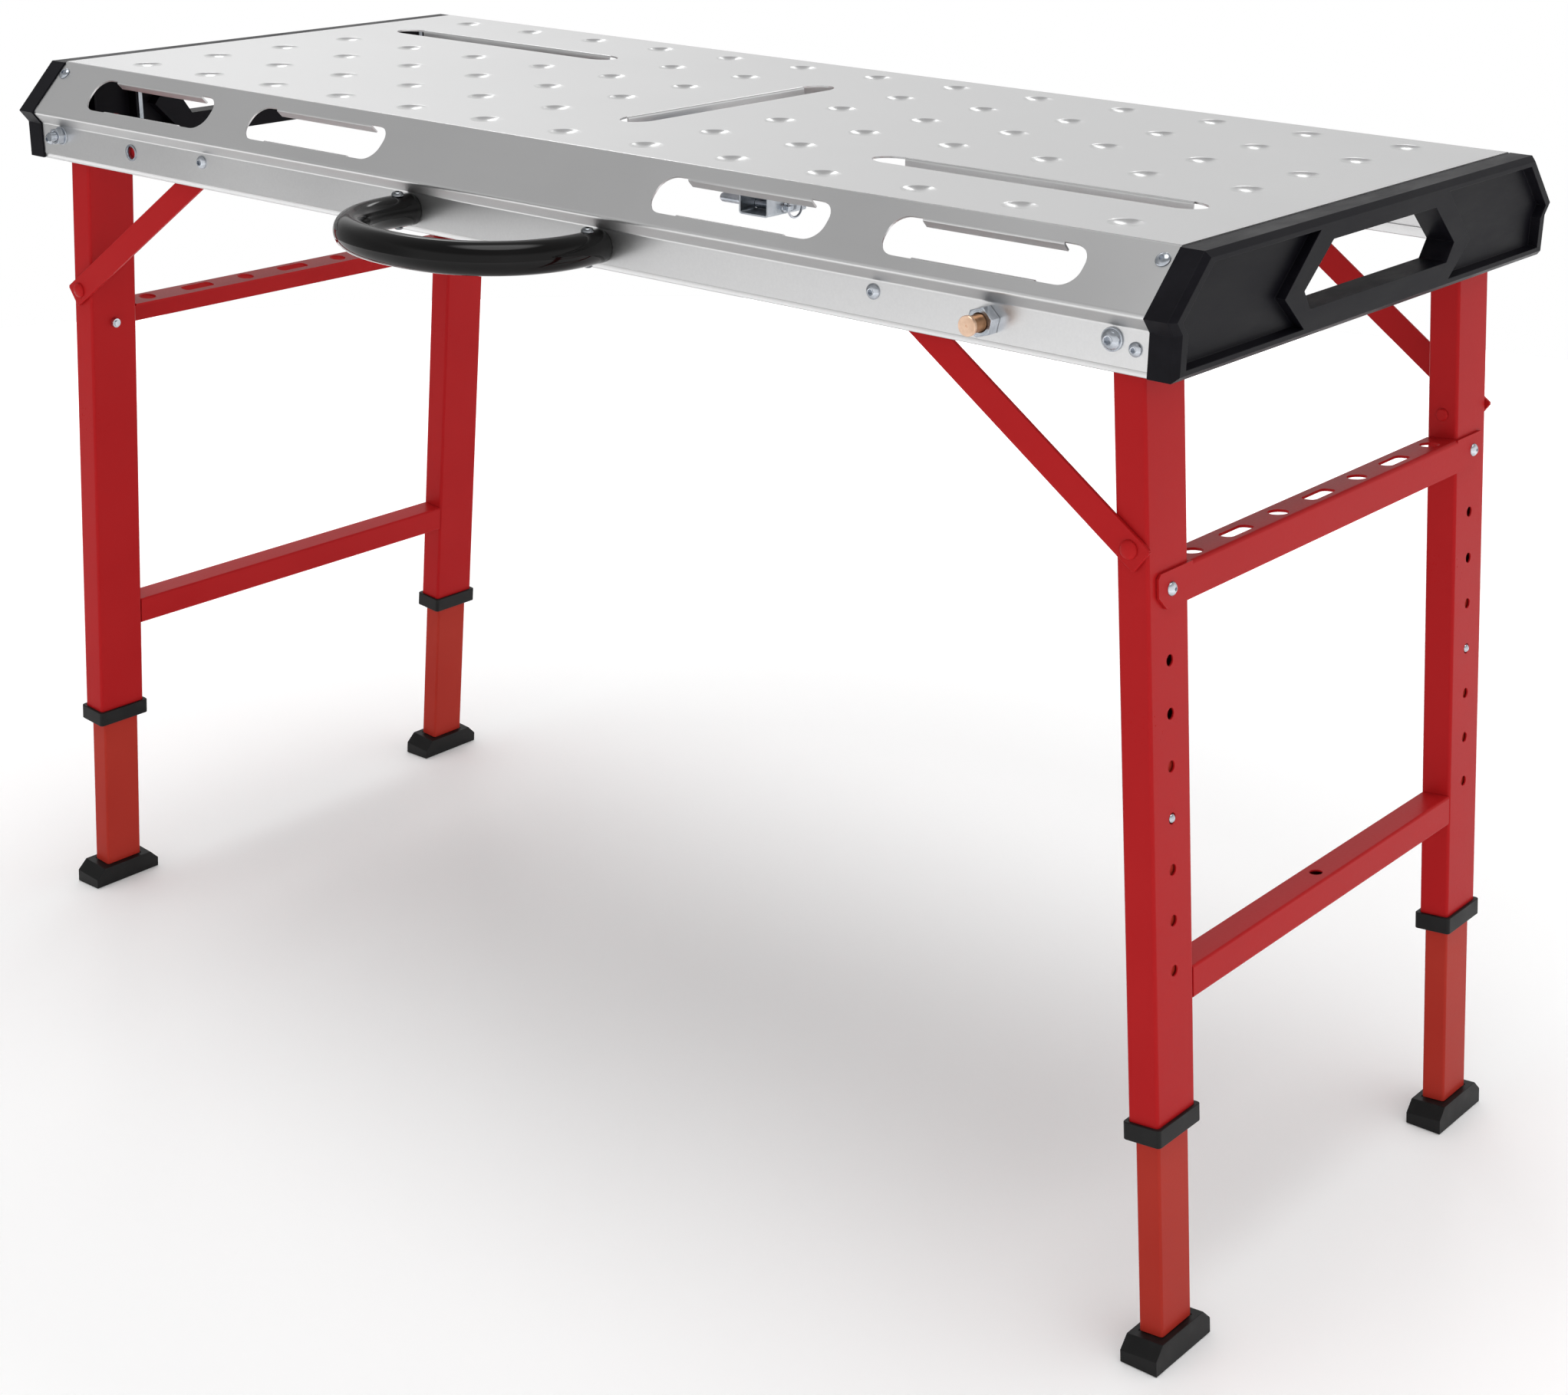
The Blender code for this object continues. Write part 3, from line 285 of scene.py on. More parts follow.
SHEET_FINISH = sheet_material()
RED = red_material("red_powder_coat", (0.425, 0.0105, 0.0125), (0.465, 0.0150, 0.0165))
RED_INNER = red_material("red_powder_coat_inner", (0.405, 0.0290, 0.0185), (0.460, 0.0410, 0.0265))
PLASTIC = plastic_material()
GLOSS = gloss_material()
RUBBER = rubber_material()
ZINC = metal_material("bright_zinc", (0.36, 0.39, 0.43), (0.62, 0.65, 0.70), 0.16, 0.28)
BLACK_ZINC = metal_material("dark_zinc", (0.16, 0.17, 0.18), (0.34, 0.35, 0.37), 0.16, 0.28)
ZINC_SHEET = metal_material("zinc_sheet", (0.34, 0.37, 0.40), (0.58, 0.61, 0.65), 0.26, 0.40, 120.0)
COPPER = metal_material("copper_face", (0.66, 0.42, 0.28), (0.90, 0.66, 0.50), 0.26, 0.40)
BRONZE = metal_material("copper_thread", (0.20, 0.105, 0.055), (0.42, 0.24, 0.14), 0.30, 0.45)


# --- pieces ------------------------------------------------------------------------------------------------------
def mesh_from(bm, name, weld=0.0000008):
    bmesh.ops.remove_doubles(bm, verts=bm.verts, dist=weld)
    bmesh.ops.recalc_face_normals(bm, faces=bm.faces)
    mesh = bpy.data.meshes.new(name)
    bm.to_mesh(mesh)
    bm.free()
    return mesh


def piece(name, bm, finish, matrix=None, smooth=35.0):
    """A new piece in place in the frame, in one or more finishes."""
    mesh = mesh_from(bm, name)
    finishes = finish if isinstance(finish, list) else [finish]
    for each in finishes:
        mesh.materials.append(each)
    mesh.shade_smooth()
    mesh.set_sharp_from_angle(angle=math.radians(smooth))
    made = bpy.data.objects.new(name, mesh)
    bpy.context.scene.collection.objects.link(made)
    made.matrix_world = BASE @ (matrix or Matrix.Identity(4))
    return made


def settle(made, body, slot, *nodes):
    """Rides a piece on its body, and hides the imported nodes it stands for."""
    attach(made, body)
    if nodes:
        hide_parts(*nodes)
    return made


def carve(made, bm, operation="DIFFERENCE"):
    """A Boolean with a shape in the piece's own axes, applied at once."""
    mesh = mesh_from(bm, "cutter")
    cutter = bpy.data.objects.new("cutter", mesh)
    bpy.context.scene.collection.objects.link(cutter)
    cutter.matrix_world = made.matrix_world
    step = made.modifiers.new("carve", "BOOLEAN")
    step.operation = operation
    step.solver = "EXACT"
    step.object = cutter
    bake(made)
    bpy.data.objects.remove(cutter)
    bpy.data.meshes.remove(mesh)


def bake(made, smooth=35.0):
    """Applies a piece's modifiers to its mesh."""
    bpy.context.view_layer.update()
    evaluated = made.evaluated_get(bpy.context.evaluated_depsgraph_get())
    mesh = bpy.data.meshes.new_from_object(evaluated)
    made.modifiers.clear()
    made.data = mesh
    mesh.shade_smooth()
    mesh.set_sharp_from_angle(angle=math.radians(smooth))


def wall(made, thickness, offset=-1.0):
    step = made.modifiers.new("wall", "SOLIDIFY")
    step.thickness = thickness
    step.offset = offset
    step.use_even_offset = True
    step.use_quality_normals = True


def soften(made, width, segments=2, angle=32.0):
    """Rounds the sharp edges, and lets the large faces set the shading."""
    step = made.modifiers.new("soften", "BEVEL")
    step.width = width
    step.segments = segments
    step.limit_method = "ANGLE"
    step.angle_limit = math.radians(angle)
    step.use_clamp_overlap = True
    step.miter_outer = "MITER_ARC"
    flatten(made)


def flatten(made):
    step = made.modifiers.new("shading", "WEIGHTED_NORMAL")
    step.mode = "FACE_AREA"
    step.weight = 50
    step.keep_sharp = True


# --- shapes ---------------------------------------------------------------------------------------------------------
AXES = {"X": (1, 2, 0), "Y": (2, 0, 1), "Z": (0, 1, 2)}


def at_axis(axis, across, along):
    first, second, third = AXES[axis]
    point = [0.0, 0.0, 0.0]
    point[first], point[second], point[third] = across[0], across[1], along
    return Vector(point)


def axis_matrix(axis):
    columns = [at_axis(axis, (1.0, 0.0), 0.0), at_axis(axis, (0.0, 1.0), 0.0), at_axis(axis, (0.0, 0.0), 1.0)]
    return Matrix(columns).transposed().to_4x4()


def box(bm, low, high):
    size = [b - a for a, b in zip(low, high)]
    middle = [(a + b) / 2 for a, b in zip(low, high)]
    bmesh.ops.create_cube(bm, size=1.0, matrix=Matrix.Translation(middle) @ Matrix.Diagonal((*size, 1.0)))


def rod(bm, axis, centre, radius, start, end, sides=28):
    place = Matrix.Translation(at_axis(axis, centre, (start + end) / 2)) @ axis_matrix(axis)
    place = place @ Matrix.Rotation(math.pi / sides, 4, "Z")
    length = abs(end - start)
    bmesh.ops.create_cone(
        bm, cap_ends=True, segments=sides, radius1=radius, radius2=radius, depth=length, matrix=place
    )


def turned(bm, axis, profile, sides=32, centre=(0.0, 0.0)):
    """A profile of (radius, position) pairs spun once round a row axis."""
    old = set(bm.verts)
    ends = [bm.verts.new(at_axis(axis, (radius, 0.0), position)) for radius, position in profile]
    edges = [bm.edges.new(pair) for pair in zip(ends, ends[1:])]
    along = at_axis(axis, (0.0, 0.0), 1.0)
    turn = 2 * math.pi
    bmesh.ops.spin(
        bm, geom=ends + edges, cent=(0.0, 0.0, 0.0), axis=along, angle=turn, steps=sides, use_merge=True
    )
    moved = [v for v in bm.verts if v not in old]
    bmesh.ops.translate(bm, verts=moved, vec=at_axis(axis, centre, 0.0))
    moved = [v for v in bm.verts if v not in old]
    bmesh.ops.remove_doubles(bm, verts=moved, dist=0.0000008)


def slab(bm, axis, outline, start, end):
    face = bm.faces.new([bm.verts.new(at_axis(axis, point, start)) for point in outline])
    pulled = bmesh.ops.extrude_face_region(bm, geom=[face], use_keep_orig=True)["geom"]
    verts = [item for item in pulled if isinstance(item, bmesh.types.BMVert)]
    bmesh.ops.translate(bm, verts=verts, vec=at_axis(axis, (0.0, 0.0), end - start))


def folded(bm, axis, section, start, end, closed=False):
    corners = [bm.verts.new(at_axis(axis, point, start)) for point in section]
    pairs = list(zip(corners, corners[1:]))
    if closed:
        pairs.append((corners[-1], corners[0]))
    edges = [bm.edges.new(pair) for pair in pairs]
    pulled = bmesh.ops.extrude_edge_only(bm, edges=edges)["geom"]
    verts = [item for item in pulled if isinstance(item, bmesh.types.BMVert)]
    bmesh.ops.translate(bm, verts=verts, vec=at_axis(axis, (0.0, 0.0), end - start))


def rounded(half_a, half_b, radius, steps=5):
    points = []
    for quarter in range(4):
        sign_a = 1 if quarter in (0, 3) else -1
        sign_b = 1 if quarter in (0, 1) else -1
        for k in range(steps + 1):
            angle = math.pi / 2 * (quarter + k / steps)
            a = sign_a * (half_a - radius) + radius * math.cos(angle)
            b = sign_b * (half_b - radius) + radius * math.sin(angle)
            points.append((a, b))
    return points


def bent(points, radii, steps=5):
    """A polyline whose inner corners are rounded to the given radii; a radius of 0 keeps a corner."""
    path = [Vector(points[0])]
    for k in range(1, len(points) - 1):
        corner = Vector(points[k])
        before = (Vector(points[k - 1]) - corner).normalized()
        after = (Vector(points[k + 1]) - corner).normalized()
        radius = radii[k - 1]
        half = before.angle(after) / 2
        if radius == 0.0 or half > 1.56:
            path.append(corner)
            continue
        reach = radius / math.tan(half)
        centre = corner + (before + after).normalized() * radius / math.sin(half)
        first = corner + before * reach - centre
        last = corner + after * reach - centre
        sweep = first.angle_signed(last)
        for step in range(steps + 1):
            turn = Matrix.Rotation(-sweep * step / steps, 2)
            path.append(centre + turn @ first)
    path.append(Vector(points[-1]))
    return [tuple(p) for p in path]


def mirrored(half):
    return half + [(-y, z) for y, z in reversed(half)]


def spread(side, low, high):
    return (low, high) if side > 0 else (-high, -low)


def plate(bm, outline, holes, matrix):
    """A flat face with holes, from loops in the matrix's own XY plane."""
    edges = []
    for loop in [outline] + holes:
        verts = [bm.verts.new(matrix @ Vector((a, b, 0.0))) for a, b in loop]
        edges += [bm.edges.new(pair) for pair in zip(verts, verts[1:] + verts[:1])]
    out = (matrix.to_3x3() @ Vector((0.0, 0.0, 1.0))).normalized()
    filled = bmesh.ops.triangle_fill(bm, use_beauty=True, use_dissolve=False, edges=edges, normal=out)
    for item in filled["geom"]:
        if isinstance(item, bmesh.types.BMFace):
            item.material_index = 1


def lip(bm, start, end, inward, depth, matrix, radius=0.0020, steps=4):
    """A bent-down edge along a straight side of an opening, in the opening's own plane."""
    start, end, inward = Vector(start), Vector(end), Vector(inward)
    rows = []
    for k in range(steps + 1):
        angle = math.pi / 2 * k / steps
        across = radius * math.sin(angle)
        rows.append((across, -radius * (1 - math.cos(angle))))
    rows.append((radius, -depth))
    lines = []
    for across, down in rows:
        a, b = start + inward * across, end + inward * across
        lines.append((bm.verts.new(matrix @ Vector((*a, down))), bm.verts.new(matrix @ Vector((*b, down)))))
    for (a, b), (c, d) in zip(lines, lines[1:]):
        bm.faces.new((a, b, d, c))


# --- top sheet -------------------------------------------------------------------------------------------------------------
def slot_outline(half_length, half_width, tip, steps=9):
    """A slot with straight sides and pointed, softly rounded tips."""
    points = []
    for end in (1, -1):
        for k in range(2 * steps + 1):
            angle = math.pi * (k / (2 * steps) - 0.5)
            a = half_length - tip + tip * math.cos(angle) ** 1.15
            b = half_width * math.copysign(abs(math.sin(angle)) ** 1.05, math.sin(angle))
            points.append((end * a, end * b))
    return points


def dimple_places():
    for column in range(-6, 7):
        for row in range(6):
            x = column * DIMPLE_PITCH[0]
            y = (row - 2.5) * DIMPLE_PITCH[1]
            on_cross_slot = column == 0 and abs(y) < CROSS_LENGTH / 2
            on_long_slot = abs(abs(y) - SLOT_Y) < 0.01 and x * y < 0 and abs(x) > 0.2
            if not on_cross_slot and not on_long_slot:
                yield x, y


def ring(centre, radius, sides):
    angles = [2 * math.pi * k / sides for k in range(sides)]
    return [(centre[0] + radius * math.cos(a), centre[1] + radius * math.sin(a)) for a in angles]


def make_sheet():
    bm = bmesh.new()
    sides = 32
    flat = Matrix.Translation((0.0, 0.0, TOP_Z))
    corners = [
        (0.0, 0.0),
        (FLAT_HALF_Y, 0.0),
        (WIDEST_HALF_Y, -WIDEST_DROP),
        (SKIRT_HALF_Y, -SKIRT_DROP),
        (SKIRT_HALF_Y, -BOTTOM_DROP + 0.0045),
        (SKIRT_HALF_Y - 0.0006, -BOTTOM_DROP + 0.0039),
        (SKIRT_HALF_Y - 0.0006, -BOTTOM_DROP),
        (SKIRT_HALF_Y - 0.0032, -BOTTOM_DROP),
        (SKIRT_HALF_Y - 0.0032, -BOTTOM_DROP + 0.0080),
    ]
    path = bent(corners, [0.0030, 0.0030, 0.0022, 0.0, 0.0, 0.0009, 0.0009])
    breaks = {1: "flat", 7: "slope", 13: "tuck", 19: "skirt"}
    half_flat = path[1][0]

    holes = []
    for place in dimple_places():
        holes.append(ring(place, DIMPLE_R, sides))
        profile = [(DIMPLE_R, TOP_Z), (DIMPLE_R - 0.0006, TOP_Z - 0.00006), (DIMPLE_R - 0.0011, TOP_Z - 0.0002)]
        for k in range(9):
            share = 1 - k / 8
            radius = (DIMPLE_R - 0.0015) * share
            profile.append((radius, TOP_Z - 0.00035 - DIMPLE_DEPTH * (1 - share**2)))
        turned(bm, "Z", profile, sides=sides, centre=place)
    slot = slot_outline(SLOT_LENGTH / 2, SLOT_HALF, SLOT_TIP)
    cross = slot_outline(CROSS_LENGTH / 2, SLOT_HALF, SLOT_TIP)
    straight = SLOT_LENGTH / 2 - SLOT_TIP
    for side in (1, -1):
        middle = Vector((side * SLOT_X, -side * SLOT_Y))
        holes.append([(a + middle.x, b + middle.y) for a, b in slot])
        for edge in (1, -1):
            depth = 0.0080 if edge > 0 else 0.0045
            start = middle + Vector((-straight, edge * SLOT_HALF))
            end = middle + Vector((straight, edge * SLOT_HALF))
            lip(bm, start, end, (0.0, -edge), depth, flat)
        reach = CROSS_LENGTH / 2 - SLOT_TIP
        depth = 0.0080 if side < 0 else 0.0045
        lip(bm, (side * SLOT_HALF, -reach), (side * SLOT_HALF, reach), (-side, 0.0), depth, flat)
    holes.append([(-b, a) for a, b in cross])
    outline = [(x, y) for x, y in ((-1, -1), (1, -1), (1, 1), (-1, 1))]
    outline = [(x * SHEET_END_X, y * half_flat) for x, y in outline]
    plate(bm, outline, holes, flat)

    opening = rounded(OPENING_HALF, (OPENING_BOTTOM - OPENING_TOP) / 2, 0.0140, steps=8)
    for side in (1, -1):
        down = (Vector((0.0, *path[7])) - Vector((0.0, *path[6]))).normalized()
        down = Vector((0.0, side * down.y, down.z))
        out = Vector((0.0, side * -down.z, side * down.y)).normalized()
        along = down.cross(out)
        turn = Matrix((along, down, out)).transposed().to_4x4()
        corner = Vector((0.0, side * FLAT_HALF_Y, TOP_Z))
        place = Matrix.Translation(corner) @ turn
        start = (Vector((0.0, side * path[6][0], TOP_Z + path[6][1])) - corner).length
        end = (Vector((0.0, side * path[7][0], TOP_Z + path[7][1])) - corner).length
        middle = (OPENING_TOP + OPENING_BOTTOM) / 2
        holes = []
        for centre in OPENING_X:
            for sign in (1, -1):
                x = sign * centre
                top_lip = [(-0.0575, OPENING_TOP), (0.0575, OPENING_TOP)]
                low_lip = [(-0.0500, OPENING_BOTTOM), (0.0500, OPENING_BOTTOM)]
                loop = [(x + a, middle + b) for a, b in opening]
                loop = with_points(loop, [(x + a, b) for a, b in top_lip + low_lip])
                holes.append(loop)
                for (a, b), (c, d), inward, depth in (
                    (*top_lip, (0.0, 1.0), 0.0080),
                    (*low_lip, (0.0, -1.0), 0.0030),
                ):
                    lip(bm, (x + a, b), (x + c, d), inward, depth, place, radius=0.0018)
        outline = [(-SHEET_END_X, start), (SHEET_END_X, start), (SHEET_END_X, end), (-SHEET_END_X, end)]
        plate(bm, outline, holes, place)

        for first, last in ((1, 6), (7, 12), (12, 13), (13, 18), (19, len(path) - 1)):
            section = [(side * y, TOP_Z + z) for y, z in path[first : last + 1]]
            folded(bm, "X", section, -SHEET_END_X, SHEET_END_X)
        upright = Matrix(((1, 0, 0, 0), (0, 0, -side, side * SKIRT_HALF_Y), (0, 1, 0, 0), (0, 0, 0, 1)))
        holes = []
        if side < 0:
            for sign in (1, -1):
                holes.append(ring((sign * STUD_X, STUD_Z + 0.001), 0.0064, 28))
        low, high = TOP_Z + path[19][1], TOP_Z + path[18][1]
        outline = [(-SHEET_END_X, low), (SHEET_END_X, low), (SHEET_END_X, high), (-SHEET_END_X, high)]
        plate(bm, outline, holes, upright)

    made = piece("galvanised_top", bm, [SHEET_FINISH, SHEET_FINISH], smooth=50.0)
    upwards = sum(face.area * face.normal.z for face in made.data.polygons)
    if upwards < 0:
        made.data.flip_normals()
    wall(made, SHEET)
    bake(made, smooth=50.0)
    border = {}
    for face in made.data.polygons:
        for key in face.edge_keys:
            border.setdefault(key, set()).add(face.material_index)
        face.material_index = 0
    for edge in made.data.edges:
        if len(border.get(edge.key, ())) > 1:
            edge.use_edge_sharp = True
    made.data.materials.pop(index=1)
    return settle(made, "table", "steel_sheet", "top_sheet")


def with_points(loop, extra):
    """A loop with further points put in on the straight sides they lie on."""
    result = []
    for first, second in zip(loop, loop[1:] + loop[:1]):
        result.append(first)
        a, b = Vector(first), Vector(second)
        found = []
        for point in extra:
            p = Vector(point)
            share = (p - a).dot(b - a) / (b - a).length_squared
            if 0.001 < share < 0.999 and (a + (b - a) * share - p).length < 0.00001:
                found.append((share, point))
        result += [point for _, point in sorted(found)]
    return result


# --- end caps ---------------------------------------------------------------------------------------------------------------
def make_cap(name, side):
    inner = cap_inner()
    proud = 0.0014
    sunk = 0.0008
    half = [
        (SKIRT_HALF_Y + proud, TOP_Z - BOTTOM_DROP + 0.0002),
        (SKIRT_HALF_Y + proud, TOP_Z - SKIRT_DROP - 0.0007),
        (WIDEST_HALF_Y + proud * 1.1, TOP_Z - WIDEST_DROP),
        (FLAT_HALF_Y + proud * 1.4 + sunk, TOP_Z - sunk),
    ]
    bm = bmesh.new()
    slab(bm, "X", mirrored(half), side * inner, side * CAP_END_X)
    rim = [e for e in bm.edges if all(abs(abs(v.co.x) - CAP_END_X) < 0.0001 for v in e.verts)]
    bmesh.ops.bevel(bm, geom=rim, offset=0.0040, segments=1, affect="EDGES")
    made = piece(name, bm, PLASTIC)

    front = CAP_END_X + 0.0020
    floor = CAP_END_X - 0.0075
    top = TOP_Z - 0.0095
    low = TOP_Z - 0.0722
    hollows = bmesh.new()
    for end in (1, -1):
        panel = [
            (0.2300, top),
            (0.2635, TOP_Z - 0.0418),
            (0.2560, TOP_Z - 0.0505),
            (0.2560, low),
            (0.1074, low),
            (0.1367, TOP_Z - 0.0483),
            (0.0949, top),
        ]
        centre = Vector((0.185, TOP_Z - 0.040))
        tapered(hollows, [(end * y, z) for y, z in panel], (end * centre.x, centre.y), side * floor, side * front)
        high, base = TOP_Z - 0.0150, low + 0.0020
        pockets = [
            [(0.1420, TOP_Z - 0.0480), (0.1120, high), (0.1610, high), (0.1610, base), (0.1190, base)],
            [(0.1630, high), (0.2070, high), (0.2070, base), (0.1630, base)],
            [(0.2090, high), (0.2210, high), (0.2500, TOP_Z - 0.0430), (0.2470, base), (0.2090, base)],
        ]
        for pocket in pockets:
            slab(hollows, "X", [(end * y, z) for y, z in pocket], side * (inner - 0.002), side * (floor - 0.003))
    carve(made, hollows)
    hand = mirrored([(0.1000, TOP_Z - 0.0603), (0.1095, TOP_Z - 0.0470), (0.0747, TOP_Z - 0.0175)])
    hole = bmesh.new()
    tapered(hole, hand, (0.0, TOP_Z - 0.040), side * (inner - 0.002), side * front, slope=0.02)
    carve(made, hole)

    tongue = bmesh.new()
    edge, thick = SHEET + GAP, 0.0028
    low = TOP_Z - BOTTOM_DROP + 0.0100
    lining = [
        (SKIRT_HALF_Y - edge, low),
        (SKIRT_HALF_Y - edge, TOP_Z - SKIRT_DROP + edge * 0.5),
        (WIDEST_HALF_Y - edge * 1.5, TOP_Z - WIDEST_DROP),
        (FLAT_HALF_Y - edge * 0.5, TOP_Z - edge),
    ]
    inside = [
        (FLAT_HALF_Y - edge * 0.5 - thick * 0.42, TOP_Z - edge - thick),
        (WIDEST_HALF_Y - edge * 1.5 - thick * 1.2, TOP_Z - WIDEST_DROP),
        (SKIRT_HALF_Y - edge - thick, TOP_Z - SKIRT_DROP + edge * 0.5),
        (SKIRT_HALF_Y - edge - thick, low),
    ]
    outline = mirrored(lining) + [(-y, z) for y, z in reversed(inside)] + inside
    slab(tongue, "X", outline, side * 0.5600, side * (inner + 0.0040))
    carve(made, tongue, "UNION")
    soften(made, 0.0010, segments=3, angle=24.0)
    return settle(made, "table", "black_plastic", name.replace("moulded_", ""))


def cap_inner():
    return SHEET_END_X + GAP


def tapered(bm, outline, centre, start, end, slope=0.06):
    """A hollow whose walls lean out a little from its floor to its mouth."""
    old = set(bm.verts)
    slab(bm, "X", outline, start, end)
    grow = 1.0 + slope
    for vert in bm.verts:
        if vert not in old and abs(vert.co.x - end) < 0.00001:
            vert.co.y = centre[0] + (vert.co.y - centre[0]) * (1.0 + slope * 0.25)
            vert.co.z = centre[1] + (vert.co.z - centre[1]) * grow


# --- handle ---------------------------------------------------------------------------------------------------------------------
def make_handle():
    start = -(SKIRT_HALF_Y + GAP)
    power = 2 / 2.25
    steps = 56
    points = [Vector((-HANDLE_X, start, 0.0)), Vector((-HANDLE_X - 0.0002, start - 0.0080, 0.0))]
    for k in range(steps + 1):
        angle = math.pi * k / steps
        x = -(HANDLE_X + 0.0010) * math.copysign(abs(math.cos(angle)) ** power, math.cos(angle))
        y = HANDLE_BEND_Y - HANDLE_REACH * abs(math.sin(angle)) ** power
        points.append(Vector((x, y, 0.0)))
    points += [Vector((HANDLE_X + 0.0002, start - 0.0080, 0.0)), Vector((HANDLE_X, start, 0.0))]
    sides = 36
    bm = bmesh.new()
    rows = []
    for radius, backwards in ((HANDLE_R, False), (HANDLE_R - 0.0020, True)):
        loops = []
        for k, point in enumerate(points):
            before, after = points[max(k - 1, 0)], points[min(k + 1, len(points) - 1)]
            along = (after - before).normalized()
            if k < 2 or k > len(points) - 3:
                along = Vector((0.0, -1.0 if k < 2 else 1.0, 0.0))
            across = Vector((along.y, -along.x, 0.0))
            ring_points = []
            for n in range(sides):
                angle = 2 * math.pi * n / sides
                lift = Vector((0.0, 0.0, math.sin(angle)))
                ring_points.append(bm.verts.new(point + (across * math.cos(angle) + lift) * radius))
            loops.append(ring_points)
        rows += reversed(loops) if backwards else loops
    rows.append(rows[0])
    for near, far in zip(rows, rows[1:]):
        for n in range(sides):
            m = (n + 1) % sides
            bm.faces.new((near[n], near[m], far[m], far[n]))
    made = piece("gloss_handle", bm, GLOSS, Matrix.Translation((0.0, 0.0, HANDLE_Z)))
    holes = bmesh.new()
    for side in (1, -1):
        rod(holes, "Z", (side * HANDLE_X, HANDLE_SCREW_Y), 0.0029, -0.02, 0.02)
    carve(made, holes)
    soften(made, 0.0004)
    settle(made, "table", "black_gloss", "carry_handle")
    for name, side in (("left", -1), ("right", 1)):
        place = Matrix.Translation((side * HANDLE_X, HANDLE_SCREW_Y, HANDLE_Z))
        screw = bmesh.new()
        profile = [
            (0.0, -HANDLE_R - 0.0014),
            (0.0026, -HANDLE_R - 0.0014),
            (0.0034, -HANDLE_R - 0.0008),
            (0.0034, -HANDLE_R + 0.0004),
            (0.0025, -HANDLE_R + 0.0004),
            (0.0025, HANDLE_R - 0.0004),
            (0.0049, HANDLE_R - 0.0004),
            (0.0047, HANDLE_R + 0.0012),
            (0.0038, HANDLE_R + 0.0023),
            (0.0024, HANDLE_R + 0.0029),
            (0.0, HANDLE_R + 0.0030),
        ]
        turned(screw, "Z", profile)
        made = piece("handle_cross_screw_" + name, screw, BLACK_ZINC, place)
        socket = bmesh.new()
        rod(socket, "Z", (0.0, 0.0), 0.0019, HANDLE_R + 0.0010, HANDLE_R + 0.0050, sides=6)
        carve(made, socket)
        settle(made, "table", "zinc", "handle_screw_" + name)


# --- fasteners -------------------------------------------------------------------------------------------------------------------------
def button_head(radius, height, base):
    """A domed head, as (radius, distance) pairs from its rim to its top."""
    points = []
    for k in range(7):
        angle = math.radians(18 + 72 * k / 6)
        points.append((radius * math.cos(angle) / math.cos(math.radians(18)), base + height * (math.sin(angle) - 0.309) / 0.691))
    return points


def skirt_screw(name, x, z, front, head_r, head_h, washer_r, shank_r, inner, nut_r, socket_r, *nodes, body="table"):
    """A socket button head on a skirt, with an optional washer, and its shank and nut inside."""
    sign = -1 if front else 1
    face = SKIRT_HALF_Y + GAP * 0.5
    profile = [(0.0, inner), (nut_r, inner), (nut_r, inner + 0.004), (shank_r, inner + 0.004), (shank_r, face)]
    base = face
    if washer_r:
        profile += [(washer_r - 0.0002, face), (washer_r, face + 0.0003), (washer_r, face + 0.0013)]
        profile += [(washer_r - 0.0003, face + 0.0016), (head_r + 0.0002, face + 0.0016)]
        base = face + 0.0016
    else:
        profile.append((head_r, face))
    profile += [(head_r, base + 0.0006)]
    dome = button_head(head_r, head_h, base + 0.0006)
    profile += dome[1:-1] + [(socket_r * 1.18, dome[-1][1]), (socket_r, dome[-1][1] - 0.0002)]
    profile += [(0.0, dome[-1][1] - 0.0002)]
    bm = bmesh.new()
    turned(bm, "Y", [(radius, sign * depth) for radius, depth in profile], sides=36)
    made = piece(name, bm, ZINC, Matrix.Translation((x, 0.0, z)))
    socket = bmesh.new()
    top = dome[-1][1]
    rod(socket, "Y", (0.0, 0.0), socket_r, sign * (top - head_h * 0.85), sign * (top + 0.002), sides=6)
    carve(made, socket)
    return settle(made, body, "zinc", *nodes)


def hex_nut(name, matrix, across, thick, bore, finish, body, slot, *nodes):
    """A hexagon nut along Y, from 0 to its thickness, chamfered on its outer face."""
    corner = across / math.sqrt(3)
    bm = bmesh.new()
    rod(bm, "Y", (0.0, 0.0), corner, 0.0, -thick, sides=6)
    made = piece(name, bm, finish, matrix)
    keep = bmesh.new()
    chamfer = (corner - across / 2) * 0.62
    rim = corner + 0.0004
    profile = [
        (0.0, 0.001),
        (rim, 0.001),
        (rim, -thick + chamfer),
        (across / 2 * 0.95, -thick - 0.0001),
        (0.0, -thick - 0.0001),
    ]
    turned(keep, "Y", profile, sides=48)
    carve(made, keep, "INTERSECT")
    hole = bmesh.new()
    hole_profile = [
        (0.0, 0.002),
        (bore, 0.002),
        (bore, -thick + 0.0008),
        (bore + 0.0010, -thick - 0.0002),
        (0.0, -thick - 0.0002),
    ]
    turned(hole, "Y", hole_profile, sides=32)
    carve(made, hole)
    soften(made, 0.00015)
    return settle(made, body, slot, *nodes)


def threaded(bm, radius, depth, pitch, start, end, sides=28):
    """A shank along -Y whose rings rise and fall with the pitch."""
    profile = [(0.0, start)]
    count = int(round((end - start) / pitch))
    for k in range(count):
        y = start + (end - start) * k / count
        step = (end - start) / count
        profile += [(radius - depth, y), (radius, y + step * 0.35), (radius, y + step * 0.55)]
    profile += [(radius - depth, end), (0.0, end)]
    turned(bm, "Y", [(r, -y) for r, y in profile], sides=sides)


